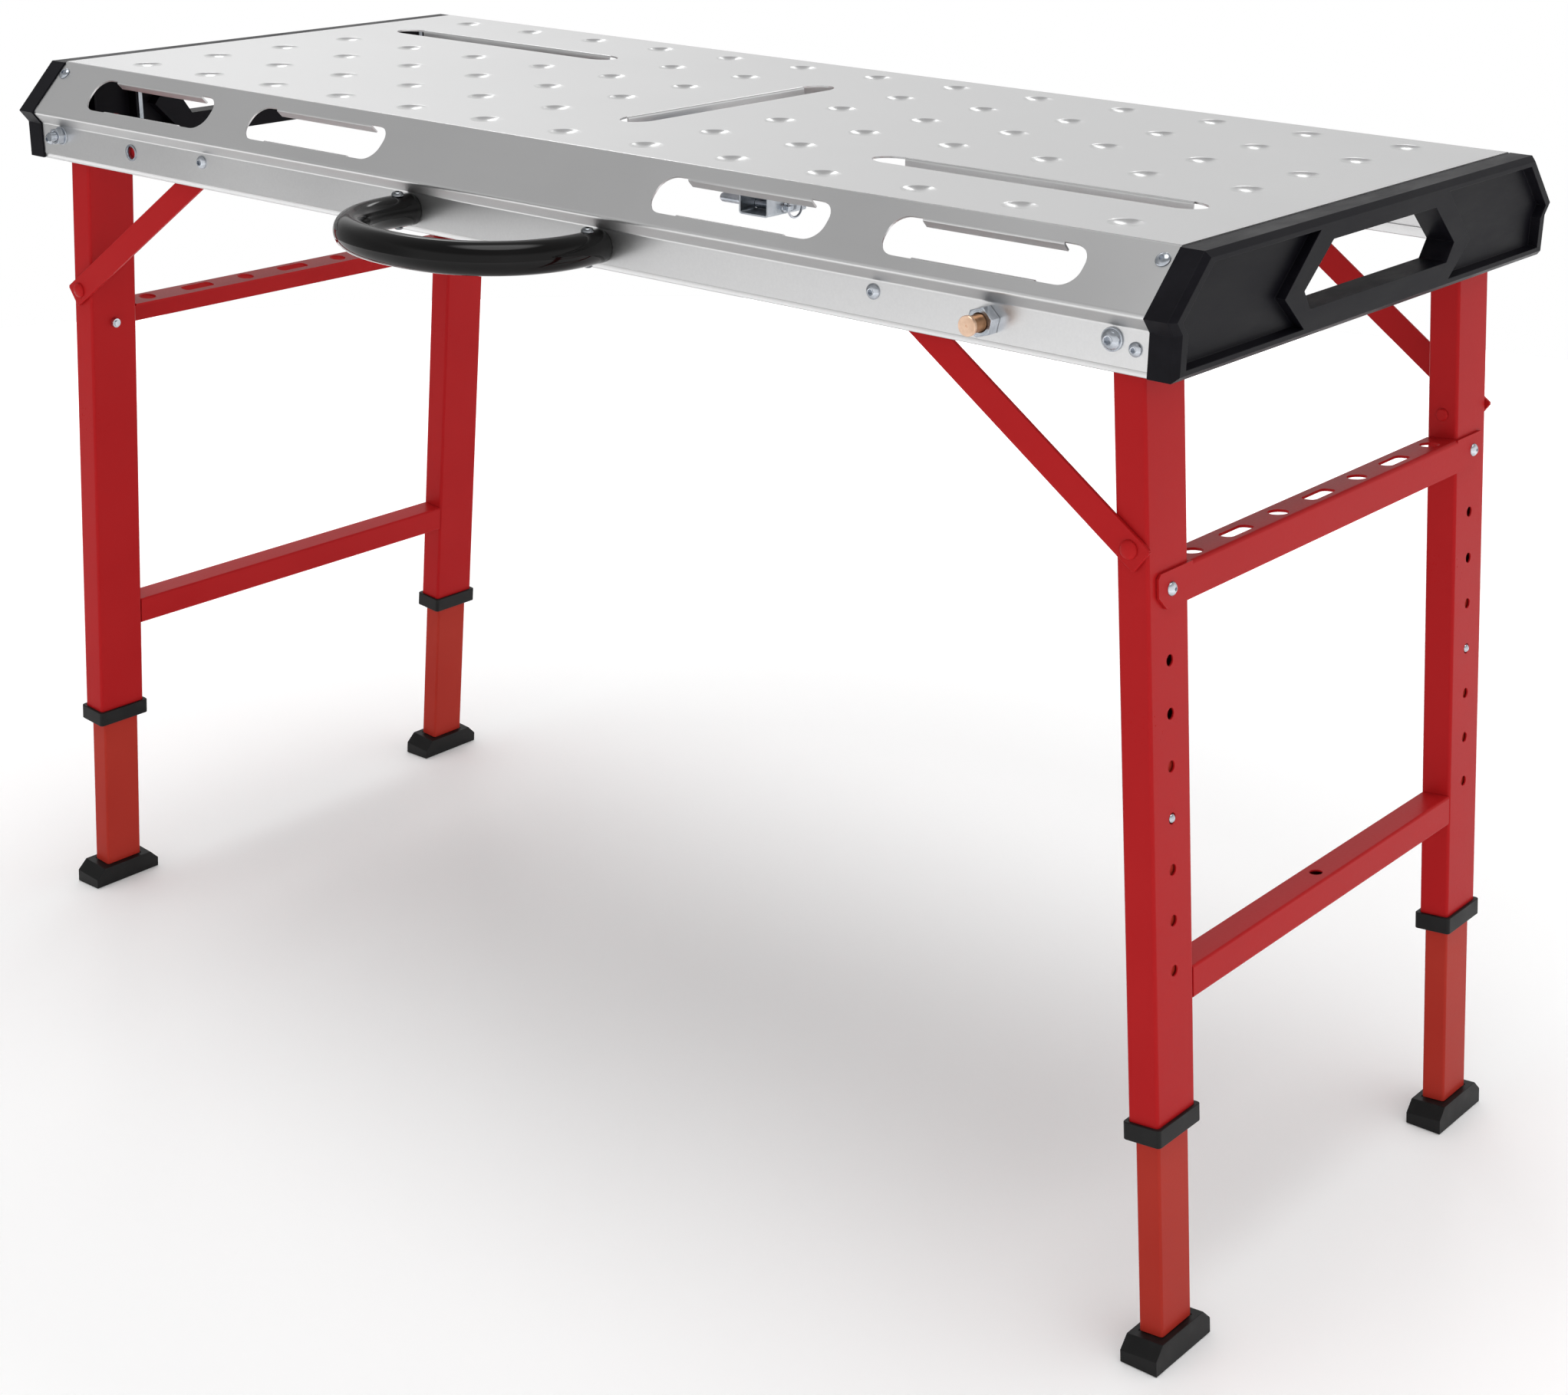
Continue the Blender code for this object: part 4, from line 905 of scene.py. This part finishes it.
def make_fasteners():
    inside = SKIRT_HALF_Y - SHEET
    leg_in = LEG_Y - OUTER_Y
    for end_name, end in (("left", -1), ("right", 1)):
        pivot_x, pivot_z = PIVOTS[end]
        for depth_name, front in (("front", True), ("back", False)):
            label = end_name + "_" + depth_name
            node = "pivot_bolt_" + label
            if front and end < 0:
                make_pivot_nut(label, pivot_x, pivot_z, node, leg_in)
            else:
                skirt_screw(
                    "pivot_button_bolt_" + label, pivot_x, pivot_z, front,
                    0.0070, 0.0040, 0.0080, 0.0040, leg_in - 0.0070, 0.0066, 0.0029, node,
                )
            skirt_screw(
                "brace_button_screw_" + label, end * BRACE_SCREW[0], BRACE_SCREW[1], front,
                0.0056, 0.0031, 0.0, 0.0030, BRACE_OUT + 0.0005, 0.0058, 0.0022, "brace_screw_" + label,
            )
            skirt_screw(
                "cap_side_screw_" + label, end * 0.5680, 0.7515, front,
                0.0050, 0.0028, 0.0, 0.0026, 0.2560, 0.0026, 0.0019,
            )
            make_slope_screw(label, end, -1 if front else 1)
    for label, x, z in (("right", STUD_X, STUD_Z),):
        bm = bmesh.new()
        shank = [(0.0, inside - 0.0085), (0.0086, inside - 0.0085), (0.0090, inside - 0.0080)]
        shank += [(0.0090, inside - 0.0002), (0.0058, inside - 0.0002), (0.0058, SKIRT_HALF_Y)]
        shank += [(0.0, SKIRT_HALF_Y)]
        turned(bm, "Y", [(r, -y) for r, y in shank], sides=32)
        threaded(bm, 0.0060, 0.0006, 0.00175, SKIRT_HALF_Y - 0.0005, SKIRT_HALF_Y + 0.0213)
        cap = [
            (0.0, SKIRT_HALF_Y + 0.0211),
            (0.0066, SKIRT_HALF_Y + 0.0211),
            (0.0071, SKIRT_HALF_Y + 0.0215),
            (0.0071, SKIRT_HALF_Y + 0.0233),
            (0.0067, SKIRT_HALF_Y + 0.0238),
            (0.0010, SKIRT_HALF_Y + 0.0238),
            (0.0006, SKIRT_HALF_Y + 0.0232),
            (0.0, SKIRT_HALF_Y + 0.0231),
        ]
        turned(bm, "Y", [(r, -y) for r, y in cap], sides=36)
        made = piece("copper_earth_stud", bm, [BRONZE, COPPER], Matrix.Translation((x, 0.0, z)))
        for face in made.data.polygons:
            face.material_index = 1 if face.center.y < -(SKIRT_HALF_Y + 0.0212) else 0
        settle(made, "table", "copper", "earth_stud")
        place = Matrix.Translation((x, -(SKIRT_HALF_Y + GAP), z)) @ Matrix.Rotation(0.22, 4, "Y")
        hex_nut("earth_nut", place, 0.0185, 0.0095, 0.0060, ZINC, "table", "zinc", "earth_stud_nut")


def make_inner_metal():
    """The threaded insert behind the open hole of the skirt, and a strip of sheet by each end cap."""
    bm = bmesh.new()
    face = SKIRT_HALF_Y
    profile = [
        (0.0052, face - 0.0035),
        (0.0088, face - 0.0035),
        (0.0088, face - 0.0018),
        (0.0062, face - 0.0018),
        (0.0062, face + 0.0002),
        (0.0072, face + 0.0002),
        (0.0072, face + 0.0007),
        (0.0056, face + 0.0008),
        (0.0052, face + 0.0002),
        (0.0052, face - 0.0035),
    ]
    turned(bm, "Y", [(r, -y) for r, y in profile], sides=40)
    made = piece("threaded_insert", bm, ZINC, Matrix.Translation((-STUD_X, 0.0, STUD_Z + 0.001)))
    settle(made, "table", "zinc")
    bm = bmesh.new()
    turned(bm, "Y", [(0.0, -(face - 0.0060)), (0.0086, -(face - 0.0060)), (0.0086, -(face - 0.0040)), (0.0, -(face - 0.0040))])
    made = piece("insert_plug", bm, RED, Matrix.Translation((-STUD_X, 0.0, STUD_Z + 0.001)))
    settle(made, "table", "red_paint")
    for end_name, end in (("left", -1), ("right", 1)):
        for depth_name, side in (("front", -1), ("back", 1)):
            strip = bmesh.new()
            low, high = sorted((side * 0.1715, side * 0.1755))
            near, far = sorted((end * 0.5575, end * 0.5590))
            box(strip, (near, low, 0.7420), (far, high, TOP_Z - SHEET - 0.0001))
            name = "end_strip_" + end_name + "_" + depth_name
            settle(piece(name, strip, ZINC_SHEET), "table", "steel_sheet")


def make_pivot_nut(label, x, z, node, leg_in):
    """The left front pivot shows its nut and the end of its thread outside."""
    face = SKIRT_HALF_Y
    bm = bmesh.new()
    washer = [
        (0.0, face + 0.0001),
        (0.0078, face + 0.0001),
        (0.0080, face + 0.0004),
        (0.0080, face + 0.0014),
        (0.0078, face + 0.0016),
        (0.0, face + 0.0016),
    ]
    turned(bm, "Y", [(r, -y) for r, y in washer], sides=36)
    inner = [(0.0, leg_in - 0.0060), (0.0070, leg_in - 0.0060), (0.0070, leg_in - GAP), (0.0040, leg_in - GAP)]
    inner += [(0.0040, face + 0.0010), (0.0, face + 0.0010)]
    turned(bm, "Y", [(r, -y) for r, y in inner], sides=32)
    threaded(bm, 0.0040, 0.0004, 0.00125, face + 0.0010, face + 0.0134)
    made = piece("pivot_thread_" + label, bm, ZINC, Matrix.Translation((x, 0.0, z)))
    settle(made, "table", "zinc", node)
    place = Matrix.Translation((x, -(face + 0.0016), z)) @ Matrix.Rotation(0.35, 4, "Y")
    hex_nut("pivot_nut_" + label, place, 0.0130, 0.0066, 0.0040, ZINC, "table", "zinc")


def make_slope_screw(label, end, side):
    """A countersunk screw through the slope into the end cap."""
    angle = math.atan2(WIDEST_DROP, WIDEST_HALF_Y - FLAT_HALF_Y)
    down = Vector((0.0, side * math.cos(angle), -math.sin(angle)))
    out = Vector((0.0, side * math.sin(angle), math.cos(angle)))
    turn = Matrix((down.cross(out), down, out)).transposed().to_4x4()
    centre = Vector((end * 0.5700, side * FLAT_HALF_Y, TOP_Z)) + down * 0.0130
    bm = bmesh.new()
    profile = [(0.0, -0.006), (0.0022, -0.006), (0.0022, 0.0002), (0.0052, 0.0002), (0.0054, 0.0006)]
    profile += [(0.0049, 0.0014), (0.0036, 0.0022), (0.0018, 0.0026), (0.0, 0.0027)]
    turned(bm, "Z", profile, sides=32)
    made = piece("slope_screw_" + label, bm, ZINC, Matrix.Translation(centre) @ turn)
    socket = bmesh.new()
    rod(socket, "Z", (0.0, 0.0), 0.0020, 0.0010, 0.0050, sides=6)
    carve(made, socket)
    settle(made, "table", "zinc")


# --- lock ---------------------------------------------------------------------------------------------------------------------------------
def make_lock():
    flange = TOP_Z - 2 * SHEET - GAP
    section = [
        (flange, LOCK_LEFT - 0.011),
        (flange, LOCK_LEFT),
        (LOCK_BOTTOM, LOCK_LEFT),
        (LOCK_BOTTOM, LOCK_RIGHT),
        (flange, LOCK_RIGHT),
        (flange, LOCK_RIGHT + 0.011),
    ]
    section = bent(section, [0.0018, 0.0026, 0.0026, 0.0018])
    low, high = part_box("lock_bracket")
    bm = bmesh.new()
    folded(bm, "Y", section, low.y - MID_Y, high.y - MID_Y)
    made = piece("zinc_lock_bracket", bm, ZINC_SHEET)
    inward = sum(f.normal.x for f in made.data.polygons if abs(f.center.x - LOCK_LEFT) < 0.0001)
    wall(made, SHEET, 1.0 if inward > 0 else -1.0)
    bake(made)
    hole = bmesh.new()
    rod(hole, "X", (0.0, LOCK_PIN_Z), 0.0043, LOCK_LEFT - 0.003, LOCK_RIGHT + 0.003)
    carve(made, hole)
    soften(made, 0.0003)
    settle(made, "table", "zinc", "lock_bracket")

    place = Matrix.Translation((EYE_X, 0.0, LOCK_PIN_Z))
    neck = LOCK_RIGHT + GAP - EYE_X
    tip = -0.0100 - EYE_X
    bm = bmesh.new()
    profile = [(0.0, tip), (0.0020, tip), (0.0034, tip + 0.0012), (0.0040, tip + 0.0028), (0.0040, neck - 0.0004)]
    profile += [(0.0037, neck), (0.0, neck)]
    turned(bm, "X", profile)
    made = piece("zinc_lock_pin", bm, ZINC, place)
    tang = bmesh.new()
    box(tang, (neck - 0.001, -0.0032, -0.0018), (0.0027, 0.0032, 0.0018))
    carve(made, tang, "UNION")
    eye = bmesh.new()
    rod(eye, "Z", (0.0, 0.0), 0.0015, -0.004, 0.004)
    carve(made, eye)
    soften(made, 0.0003)
    settle(made, "lock_pin", "zinc", "lock_pin")

    low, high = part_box("lock_ring")
    radius = (high.z - low.z) / 2 - 0.0010
    bm = bmesh.new()
    wire = Matrix.Translation((0.0, -radius, 0.0))
    bmesh.ops.create_circle(bm, cap_ends=False, segments=16, radius=0.0010, matrix=wire)
    geometry = bm.verts[:] + bm.edges[:]
    turn = 2 * math.pi
    bmesh.ops.spin(bm, geom=geometry, cent=(0, 0, 0), axis=(1, 0, 0), angle=turn, steps=56, use_merge=True)
    bmesh.ops.translate(bm, verts=bm.verts, vec=(0.0, radius, 0.0))
    made = piece("zinc_pull_ring", bm, ZINC, place)
    settle(made, "lock_ring", "zinc", "lock_ring")


# --- leg frames ------------------------------------------------------------------------------------------------------------------------------
def leg_matrix(side):
    """Leg axes, with the same heights on both sides whatever the pivots."""
    turn = Matrix.Rotation(-side * SPLAY, 4, "Y")
    return Matrix.Translation((side * LEG_TOP_X, 0.0, LEG_TOP_Z)) @ turn


def make_frame(end_name, side):
    to_leg = leg_matrix(side)
    body = end_name + "_frame"
    for depth_name, depth in (("front", -1), ("back", 1)):
        label = end_name + "_" + depth_name
        at_leg = to_leg @ Matrix.Translation((0.0, depth * LEG_Y, 0.0))
        make_outer_leg(label, at_leg, side, depth, body)
        make_inner_leg(label, at_leg, side)
        make_collar(label, at_leg, body)
        make_foot(label, at_leg, side)
        make_bolts(label, at_leg, side, depth, body)
        make_brace(label, to_leg, side, depth)
    make_rail(end_name, to_leg, side, body)
    make_crossbar(end_name, to_leg, side, body)


def make_outer_leg(label, at_leg, side, depth, body):
    bm = bmesh.new()
    folded(bm, "Z", rounded(OUTER_U, OUTER_Y, 0.0026), OUTER_BOTTOM, OUTER_TOP, closed=True)
    made = piece("outer_tube_" + label, bm, RED, at_leg)
    wall(made, TUBE_WALL)
    bake(made)
    holes = bmesh.new()
    for k in range(-3, 4):
        rod(holes, "X", (0.0, PIN_HOLE + k * HOLE_PITCH), 0.0041, *spread(side, 0.0090, 0.0150))
    pivot_x, pivot_z = PIVOTS[side]
    local = (at_leg.inverted() @ Vector((pivot_x, 0.0, pivot_z)))
    rod(holes, "Y", (local.z, local.x), 0.0041, -0.0280, 0.0280)
    carve(made, holes)
    soften(made, 0.0003)
    settle(made, body, "red_paint", "outer_leg_" + label)


def make_inner_leg(label, at_leg, side):
    bm = bmesh.new()
    folded(bm, "Z", rounded(INNER_U, INNER_Y, 0.0022), INNER_BOTTOM, INNER_TOP, closed=True)
    made = piece("inner_tube_" + label, bm, RED_INNER, at_leg)
    wall(made, TUBE_WALL)
    bake(made)
    hole = bmesh.new()
    rod(hole, "X", (0.0, PIN_HOLE), 0.0039, *spread(side, 0.0060, 0.0130))
    carve(made, hole)
    flatten(made)
    settle(made, "inner_leg_" + label, "red_paint", "inner_leg_" + label)
    profile = [(0.0055, 0.0066), (0.0055, 0.0082), (0.0035, 0.0082), (0.0035, 0.0112)]
    for k in range(1, 7):
        angle = math.pi / 2 * k / 6
        profile.append((0.0035 * math.cos(angle), 0.0112 + 0.0031 * math.sin(angle)))
    bm = bmesh.new()
    turned(bm, "X", [(0.0, side * 0.0066)] + [(max(r, 0.0), side * u) for r, u in profile])
    made = piece("zinc_spring_button_" + label, bm, ZINC, at_leg @ Matrix.Translation((0.0, 0.0, PIN_HOLE)))
    settle(made, "spring_button_" + label, "zinc", "spring_button_" + label)


def make_collar(label, at_leg, body):
    bm = bmesh.new()
    slab(bm, "Z", rounded(0.0156, 0.0281, 0.0030), -0.0045, 0.0095)
    made = piece("moulded_collar_" + label, bm, RUBBER, at_leg @ Matrix.Translation((0.0, 0.0, OUTER_BOTTOM)))
    pocket = bmesh.new()
    slab(pocket, "Z", rounded(OUTER_U + 0.0001, OUTER_Y + 0.0001, 0.0026), -GAP, 0.0120)
    carve(made, pocket)
    mouth = bmesh.new()
    slab(mouth, "Z", rounded(INNER_U + GAP, INNER_Y + GAP, 0.0022), -0.0070, 0.0010)
    carve(made, mouth)
    soften(made, 0.0006, segments=3)
    settle(made, body, "black_rubber", "collar_" + label)


def make_foot(label, at_leg, side):
    """A foot cut level with the floor: upright sides, then sloping shoulders up to the leg."""
    place = at_leg @ Matrix.Translation((0.0, 0.0, INNER_BOTTOM - GAP))
    bm = bmesh.new()
    box(bm, (-0.0155, -0.0375, -0.0400), (0.0155, 0.0375, 0.0))
    ends = [e for e in bm.edges if all(v.co.z > -0.001 for v in e.verts)]
    ends = [e for e in ends if abs(e.verts[0].co.y - e.verts[1].co.y) < 0.001]
    bmesh.ops.bevel(bm, geom=ends, offset=0.0095, segments=1, affect="EDGES")
    to_foot = place.inverted()
    upwards = to_foot.to_3x3() @ Vector((0.0, 0.0, 1.0))
    on_floor = to_foot @ Vector((0.0, 0.0, 0.0))
    geometry = bm.verts[:] + bm.edges[:] + bm.faces[:]
    bmesh.ops.bisect_plane(bm, geom=geometry, plane_co=on_floor, plane_no=upwards, clear_inner=True)
    bmesh.ops.holes_fill(bm, edges=bm.edges[:])
    made = piece("moulded_foot_" + label, bm, RUBBER, place, smooth=25.0)
    step = bmesh.new()
    wide = 0.0004
    box(step, (-INNER_U - wide, -INNER_Y - wide, -0.0008), (INNER_U + wide, INNER_Y + wide, 0.0010))
    carve(made, step)
    plug = bmesh.new()
    slack = TUBE_WALL + 3 * GAP
    box(plug, (slack - INNER_U, slack - INNER_Y, -0.0020), (INNER_U - slack, INNER_Y - slack, 0.0150))
    carve(made, plug, "UNION")
    soften(made, 0.0007, segments=3, angle=24.0)
    settle(made, "inner_leg_" + label, "black_rubber", "foot_" + label)


def make_bolts(label, at_leg, side, depth, body):
    bm = bmesh.new()
    profile = [(0.0, -OUTER_U - 0.0050), (0.0026, -OUTER_U - 0.0050), (0.0026, -OUTER_U - 0.0036)]
    profile += [(0.0042, -OUTER_U - 0.0035), (0.0044, -OUTER_U - 0.0003), (0.0025, -OUTER_U - GAP)]
    profile += [(0.0025, 0.0148), (0.0052, 0.0148)]
    profile += button_head(0.0052, 0.0030, 0.0152)[:-1]
    profile += [(0.0, 0.0182)]
    turned(bm, "X", [(r, side * u) for r, u in profile])
    place = at_leg @ Matrix.Translation((0.0, 0.0, RAIL_BOLT))
    made = piece("rail_dome_bolt_" + label, bm, ZINC, place)
    dent = bmesh.new()
    rod(dent, "X", (0.0, 0.0), 0.0015, side * 0.0170, side * 0.0200, sides=6)
    carve(made, dent)
    settle(made, body, "zinc", "rail_bolt_" + label)

    y0 = LEG_Y + OUTER_Y - TUBE_WALL
    profile = [(0.0, y0 - 0.0022), (0.0052, y0 - 0.0022), (0.0052, y0 - GAP), (0.0040, y0 - GAP)]
    profile += [(0.0040, BRACE_OUT), (0.0066, BRACE_OUT + 0.0001), (0.0067, BRACE_OUT + 0.0009)]
    profile += [(0.0062, BRACE_OUT + 0.0019), (0.0050, BRACE_OUT + 0.0028), (0.0030, BRACE_OUT + 0.0034)]
    profile += [(0.0, BRACE_OUT + 0.0037)]
    bm = bmesh.new()
    turned(bm, "Y", [(r, depth * (y - LEG_Y)) for r, y in profile], sides=36)
    made = piece("painted_rivet_" + label, bm, RED, at_leg @ Matrix.Translation((0.0, 0.0, RIVET)))
    settle(made, body, "red_paint", "brace_rivet_" + label)

    face = LEG_Y - OUTER_Y
    profile = [(0.0, face + TUBE_WALL), (0.0034, face + TUBE_WALL), (0.0034, face), (0.0050, face - GAP)]
    profile += [(0.0050, face - 0.0009), (0.0040, face - 0.0018), (0.0, face - 0.0022)]
    bm = bmesh.new()
    turned(bm, "Y", [(r, depth * (y - LEG_Y)) for r, y in profile], sides=28)
    made = piece("rivet_end_" + label, bm, RED, at_leg @ Matrix.Translation((0.0, 0.0, RIVET)))
    settle(made, body, "red_paint")


def make_brace(label, to_leg, side, depth):
    start = to_leg @ Vector((0.0, 0.0, RIVET))
    end = Vector((side * BRACE_SCREW[0], 0.0, BRACE_SCREW[1]))
    bar = end - start
    tilt = math.atan2(-bar.z, bar.x)
    inner, outer = sorted((depth * BRACE_IN, depth * BRACE_OUT))
    bm = bmesh.new()
    half, over = 0.0105, 0.0125
    box(bm, (-over, inner, -half), (bar.length + over, outer, half))
    corners = [e for e in bm.edges if abs(e.verts[0].co.y - e.verts[1].co.y) > 0.001]
    bmesh.ops.bevel(bm, geom=corners, offset=0.0010, segments=2, affect="EDGES")
    place = Matrix.Translation(start) @ Matrix.Rotation(tilt, 4, "Y")
    made = piece("flat_brace_" + label, bm, RED, place)
    holes = bmesh.new()
    rod(holes, "Y", (0.0, 0.0), 0.0041, inner - 0.002, outer + 0.002)
    rod(holes, "Y", (0.0, bar.length), 0.0034, inner - 0.002, outer + 0.002)
    carve(made, holes)
    soften(made, 0.0004)
    settle(made, "brace_" + label, "red_paint", "brace_" + label)


def make_rail(end_name, to_leg, side, body):
    span = LEG_Y - OUTER_Y - 0.0001
    outer = OUTER_U + GAP + RAIL_THICK
    height = RAIL_HEIGHT
    inner = outer - RAIL_THICK
    outside = bent([(-height, outer), (0.0, outer), (0.0, -OUTER_U)], [0.0030])
    inside = bent([(-RAIL_THICK, -OUTER_U), (-RAIL_THICK, inner), (-height, inner)], [0.0012])
    bm = bmesh.new()
    slab(bm, "Y", [(w, side * u) for w, u in outside + inside], -span, span)
    made = piece("punched_rail_" + end_name, bm, RED, to_leg @ Matrix.Translation((0.0, 0.0, RAIL_TOP)))
    reach, clip = 0.2400, 0.0100
    outline = [
        (reach, -0.0030),
        (reach - 0.0030, 0.0),
        (span - 0.002, 0.0),
        (span - 0.002, -0.0032),
        (0.002 - span, -0.0032),
        (0.002 - span, 0.0),
        (0.0030 - reach, 0.0),
        (-reach, -0.0030),
        (-reach, clip - height),
        (clip - reach, -height),
        (reach - clip, -height),
        (reach, clip - height),
    ]
    flange = bmesh.new()
    slab(flange, "X", outline, *spread(side, inner, outer))
    carve(made, flange, "UNION")
    holes = bmesh.new()
    middle = side * 0.0012
    for k in range(-3, 4):
        y = k * 0.0585
        if k % 2:
            rod(holes, "Z", (middle, y), 0.0078, -0.0040, 0.0020)
        else:
            oblong = [(middle + a, y + b) for a, b in rounded(0.0062, 0.0172, 0.0045)]
            slab(holes, "Z", oblong, -0.0040, 0.0020)
    bolt_drop = RAIL_BOLT - RAIL_TOP
    for depth in (1, -1):
        rod(holes, "X", (depth * LEG_Y, bolt_drop), 0.0027, *spread(side, outer - 0.0040, outer + 0.0020))
    carve(made, holes)
    soften(made, 0.0004, angle=40.0)
    settle(made, body, "red_paint", "upper_rail_" + end_name)


def make_crossbar(end_name, to_leg, side, body):
    span = LEG_Y - OUTER_Y - 0.0001
    bm = bmesh.new()
    folded(bm, "Y", rounded(CROSSBAR_HALF, CROSSBAR_HALF, 0.0022), -span, span, closed=True)
    made = piece("square_crossbar_" + end_name, bm, RED, to_leg @ Matrix.Translation((0.0, 0.0, CROSSBAR)))
    wall(made, TUBE_WALL)
    bake(made)
    if side > 0:
        hole = bmesh.new()
        rod(hole, "Z", (0.0, 0.0), 0.0050, -0.02, 0.02)
        carve(made, hole)
    soften(made, 0.0003)
    settle(made, body, "red_paint", "lower_crossbar_" + end_name)


make_sheet()
make_cap("moulded_end_cap_left", -1)
make_cap("moulded_end_cap_right", 1)
make_handle()
make_fasteners()
make_inner_metal()
make_lock()
make_frame("left", -1)
make_frame("right", 1)

for name in ("handle_post_left", "handle_post_right"):
    node = frame["nodes"][name]
    node.data.materials.clear()
    node.data.materials.append(ZINC)


# --- floor, light, camera -----------------------------------------------------------------------------------------------------------------------
def floor_material():
    """Pale and matt, with a painted glow (emission) that grows towards its rim, so that it is lost in the white of the
    room.
    """
    n = Nodes("pale_floor")
    clouds = n.noise(0.8, 2.0, 0.5)
    colour = n.mix(clouds, (0.93, 0.93, 0.93), (0.95, 0.95, 0.95))
    length = n.tree.nodes.new("ShaderNodeVectorMath")
    length.operation = "LENGTH"
    n.tree.links.new(n.coordinates(), length.inputs[0])
    painted_glow = n.spread(length.outputs["Value"], 0.08, 0.6, 0.7, 2.5)
    # Painted light: the floor glows a little everywhere and more towards its rim.
    n.shader.inputs["Emission Color"].default_value = (1.0, 1.0, 1.0, 1.0)
    n.link(painted_glow, n.shader.inputs["Emission Strength"])
    return n.finish(colour, 0.7, 0.0, Specular_IOR_Level=0.2)


bm = bmesh.new()
bmesh.ops.create_circle(bm, cap_ends=True, segments=96, radius=2.9)
floor_mesh = bpy.data.meshes.new("floor")
bm.to_mesh(floor_mesh)
bm.free()
floor_mesh.materials.append(floor_material())
floor = bpy.data.objects.new("floor", floor_mesh)
floor.location = (0.0, 0.0, -0.0004)
bpy.context.scene.collection.objects.link(floor)


def world_light():
    """A white room: bright low walls, a greyer ceiling, two soft boxes behind the table and one above it."""
    room = bpy.data.worlds.new("studio")
    room.use_nodes = True
    tree = room.node_tree
    back = tree.nodes["Background"]
    place = tree.nodes.new("ShaderNodeTexCoord").outputs["Generated"]

    def maths(operation, first, second):
        node = tree.nodes.new("ShaderNodeMath")
        node.operation = operation
        for value, socket in ((first, node.inputs[0]), (second, node.inputs[1])):
            if hasattr(value, "is_output"):
                tree.links.new(value, socket)
            else:
                socket.default_value = value
        return node.outputs[0]

    def along(direction, start, end):
        dot = tree.nodes.new("ShaderNodeVectorMath")
        dot.operation = "DOT_PRODUCT"
        tree.links.new(place, dot.inputs[0])
        dot.inputs[1].default_value = Vector(direction).normalized()
        ramp = tree.nodes.new("ShaderNodeMapRange")
        ramp.interpolation_type = "SMOOTHSTEP"
        tree.links.new(dot.outputs["Value"], ramp.inputs["Value"])
        ramp.inputs["From Min"].default_value = start
        ramp.inputs["From Max"].default_value = end
        return ramp.outputs[0]

    ceiling = along((0.0, 0.0, 1.0), 0.40, 0.66)
    light = maths("SUBTRACT", 1.0, maths("MULTIPLY", ceiling, 0.55))
    shade = maths("MULTIPLY", along((-0.95, -0.30, 0.0), 0.55, 0.95), maths("SUBTRACT", 1.0, ceiling))
    light = maths("SUBTRACT", light, maths("MULTIPLY", shade, 0.58))
    behind = maths("MULTIPLY", along((-0.10, 1.0, 0.30), 0.66, 0.97), maths("SUBTRACT", 1.0, ceiling))
    light = maths("SUBTRACT", light, maths("MULTIPLY", behind, 0.30))
    for turn in (-13.0, 13.0):
        angle = azimuth + math.radians(turn)
        rise = math.radians(32.0)
        lamp = (-math.sin(angle) * math.cos(rise), math.cos(angle) * math.cos(rise), math.sin(rise))
        spot = along(lamp, math.cos(math.radians(5.5)), math.cos(math.radians(2.5)))
        light = maths("ADD", light, maths("MULTIPLY", spot, 3.2))
    above = along((0.0, 0.0, 1.0), math.cos(math.radians(24.0)), math.cos(math.radians(12.0)))
    light = maths("ADD", light, maths("MULTIPLY", above, 3.6))
    seen = tree.nodes.new("ShaderNodeLightPath").outputs["Is Camera Ray"]
    light = maths("ADD", maths("MULTIPLY", light, maths("SUBTRACT", 1.0, seen)), seen)
    back.inputs["Color"].default_value = (1.0, 1.0, 1.0, 1.0)
    tree.links.new(light, back.inputs["Strength"])
    bpy.context.scene.world = room


azimuth, elevation, roll = 0.6856, 0.3748, -0.0141
world_light()
bpy.context.scene.view_settings.view_transform = "Standard"

camera_data = bpy.data.cameras.new("camera")
camera_data.lens = 60.595
camera_data.sensor_width = 36.0
camera_data.sensor_fit = "HORIZONTAL"
camera = bpy.data.objects.new("camera", camera_data)
forward = Vector((-math.sin(azimuth) * math.cos(elevation), math.cos(azimuth) * math.cos(elevation), -math.sin(elevation)))
right = forward.cross(Vector((0.0, 0.0, 1.0))).normalized()
down = forward.cross(right)
right_rolled = right * math.cos(roll) + down * math.sin(roll)
down_rolled = down * math.cos(roll) - right * math.sin(roll)
axes = Matrix((right_rolled, -down_rolled, -forward)).transposed().to_4x4()
camera.matrix_world = BASE @ Matrix.Translation((1.4370, -1.6769, 1.1566)) @ axes
bpy.context.scene.collection.objects.link(camera)
bpy.context.scene.camera = camera
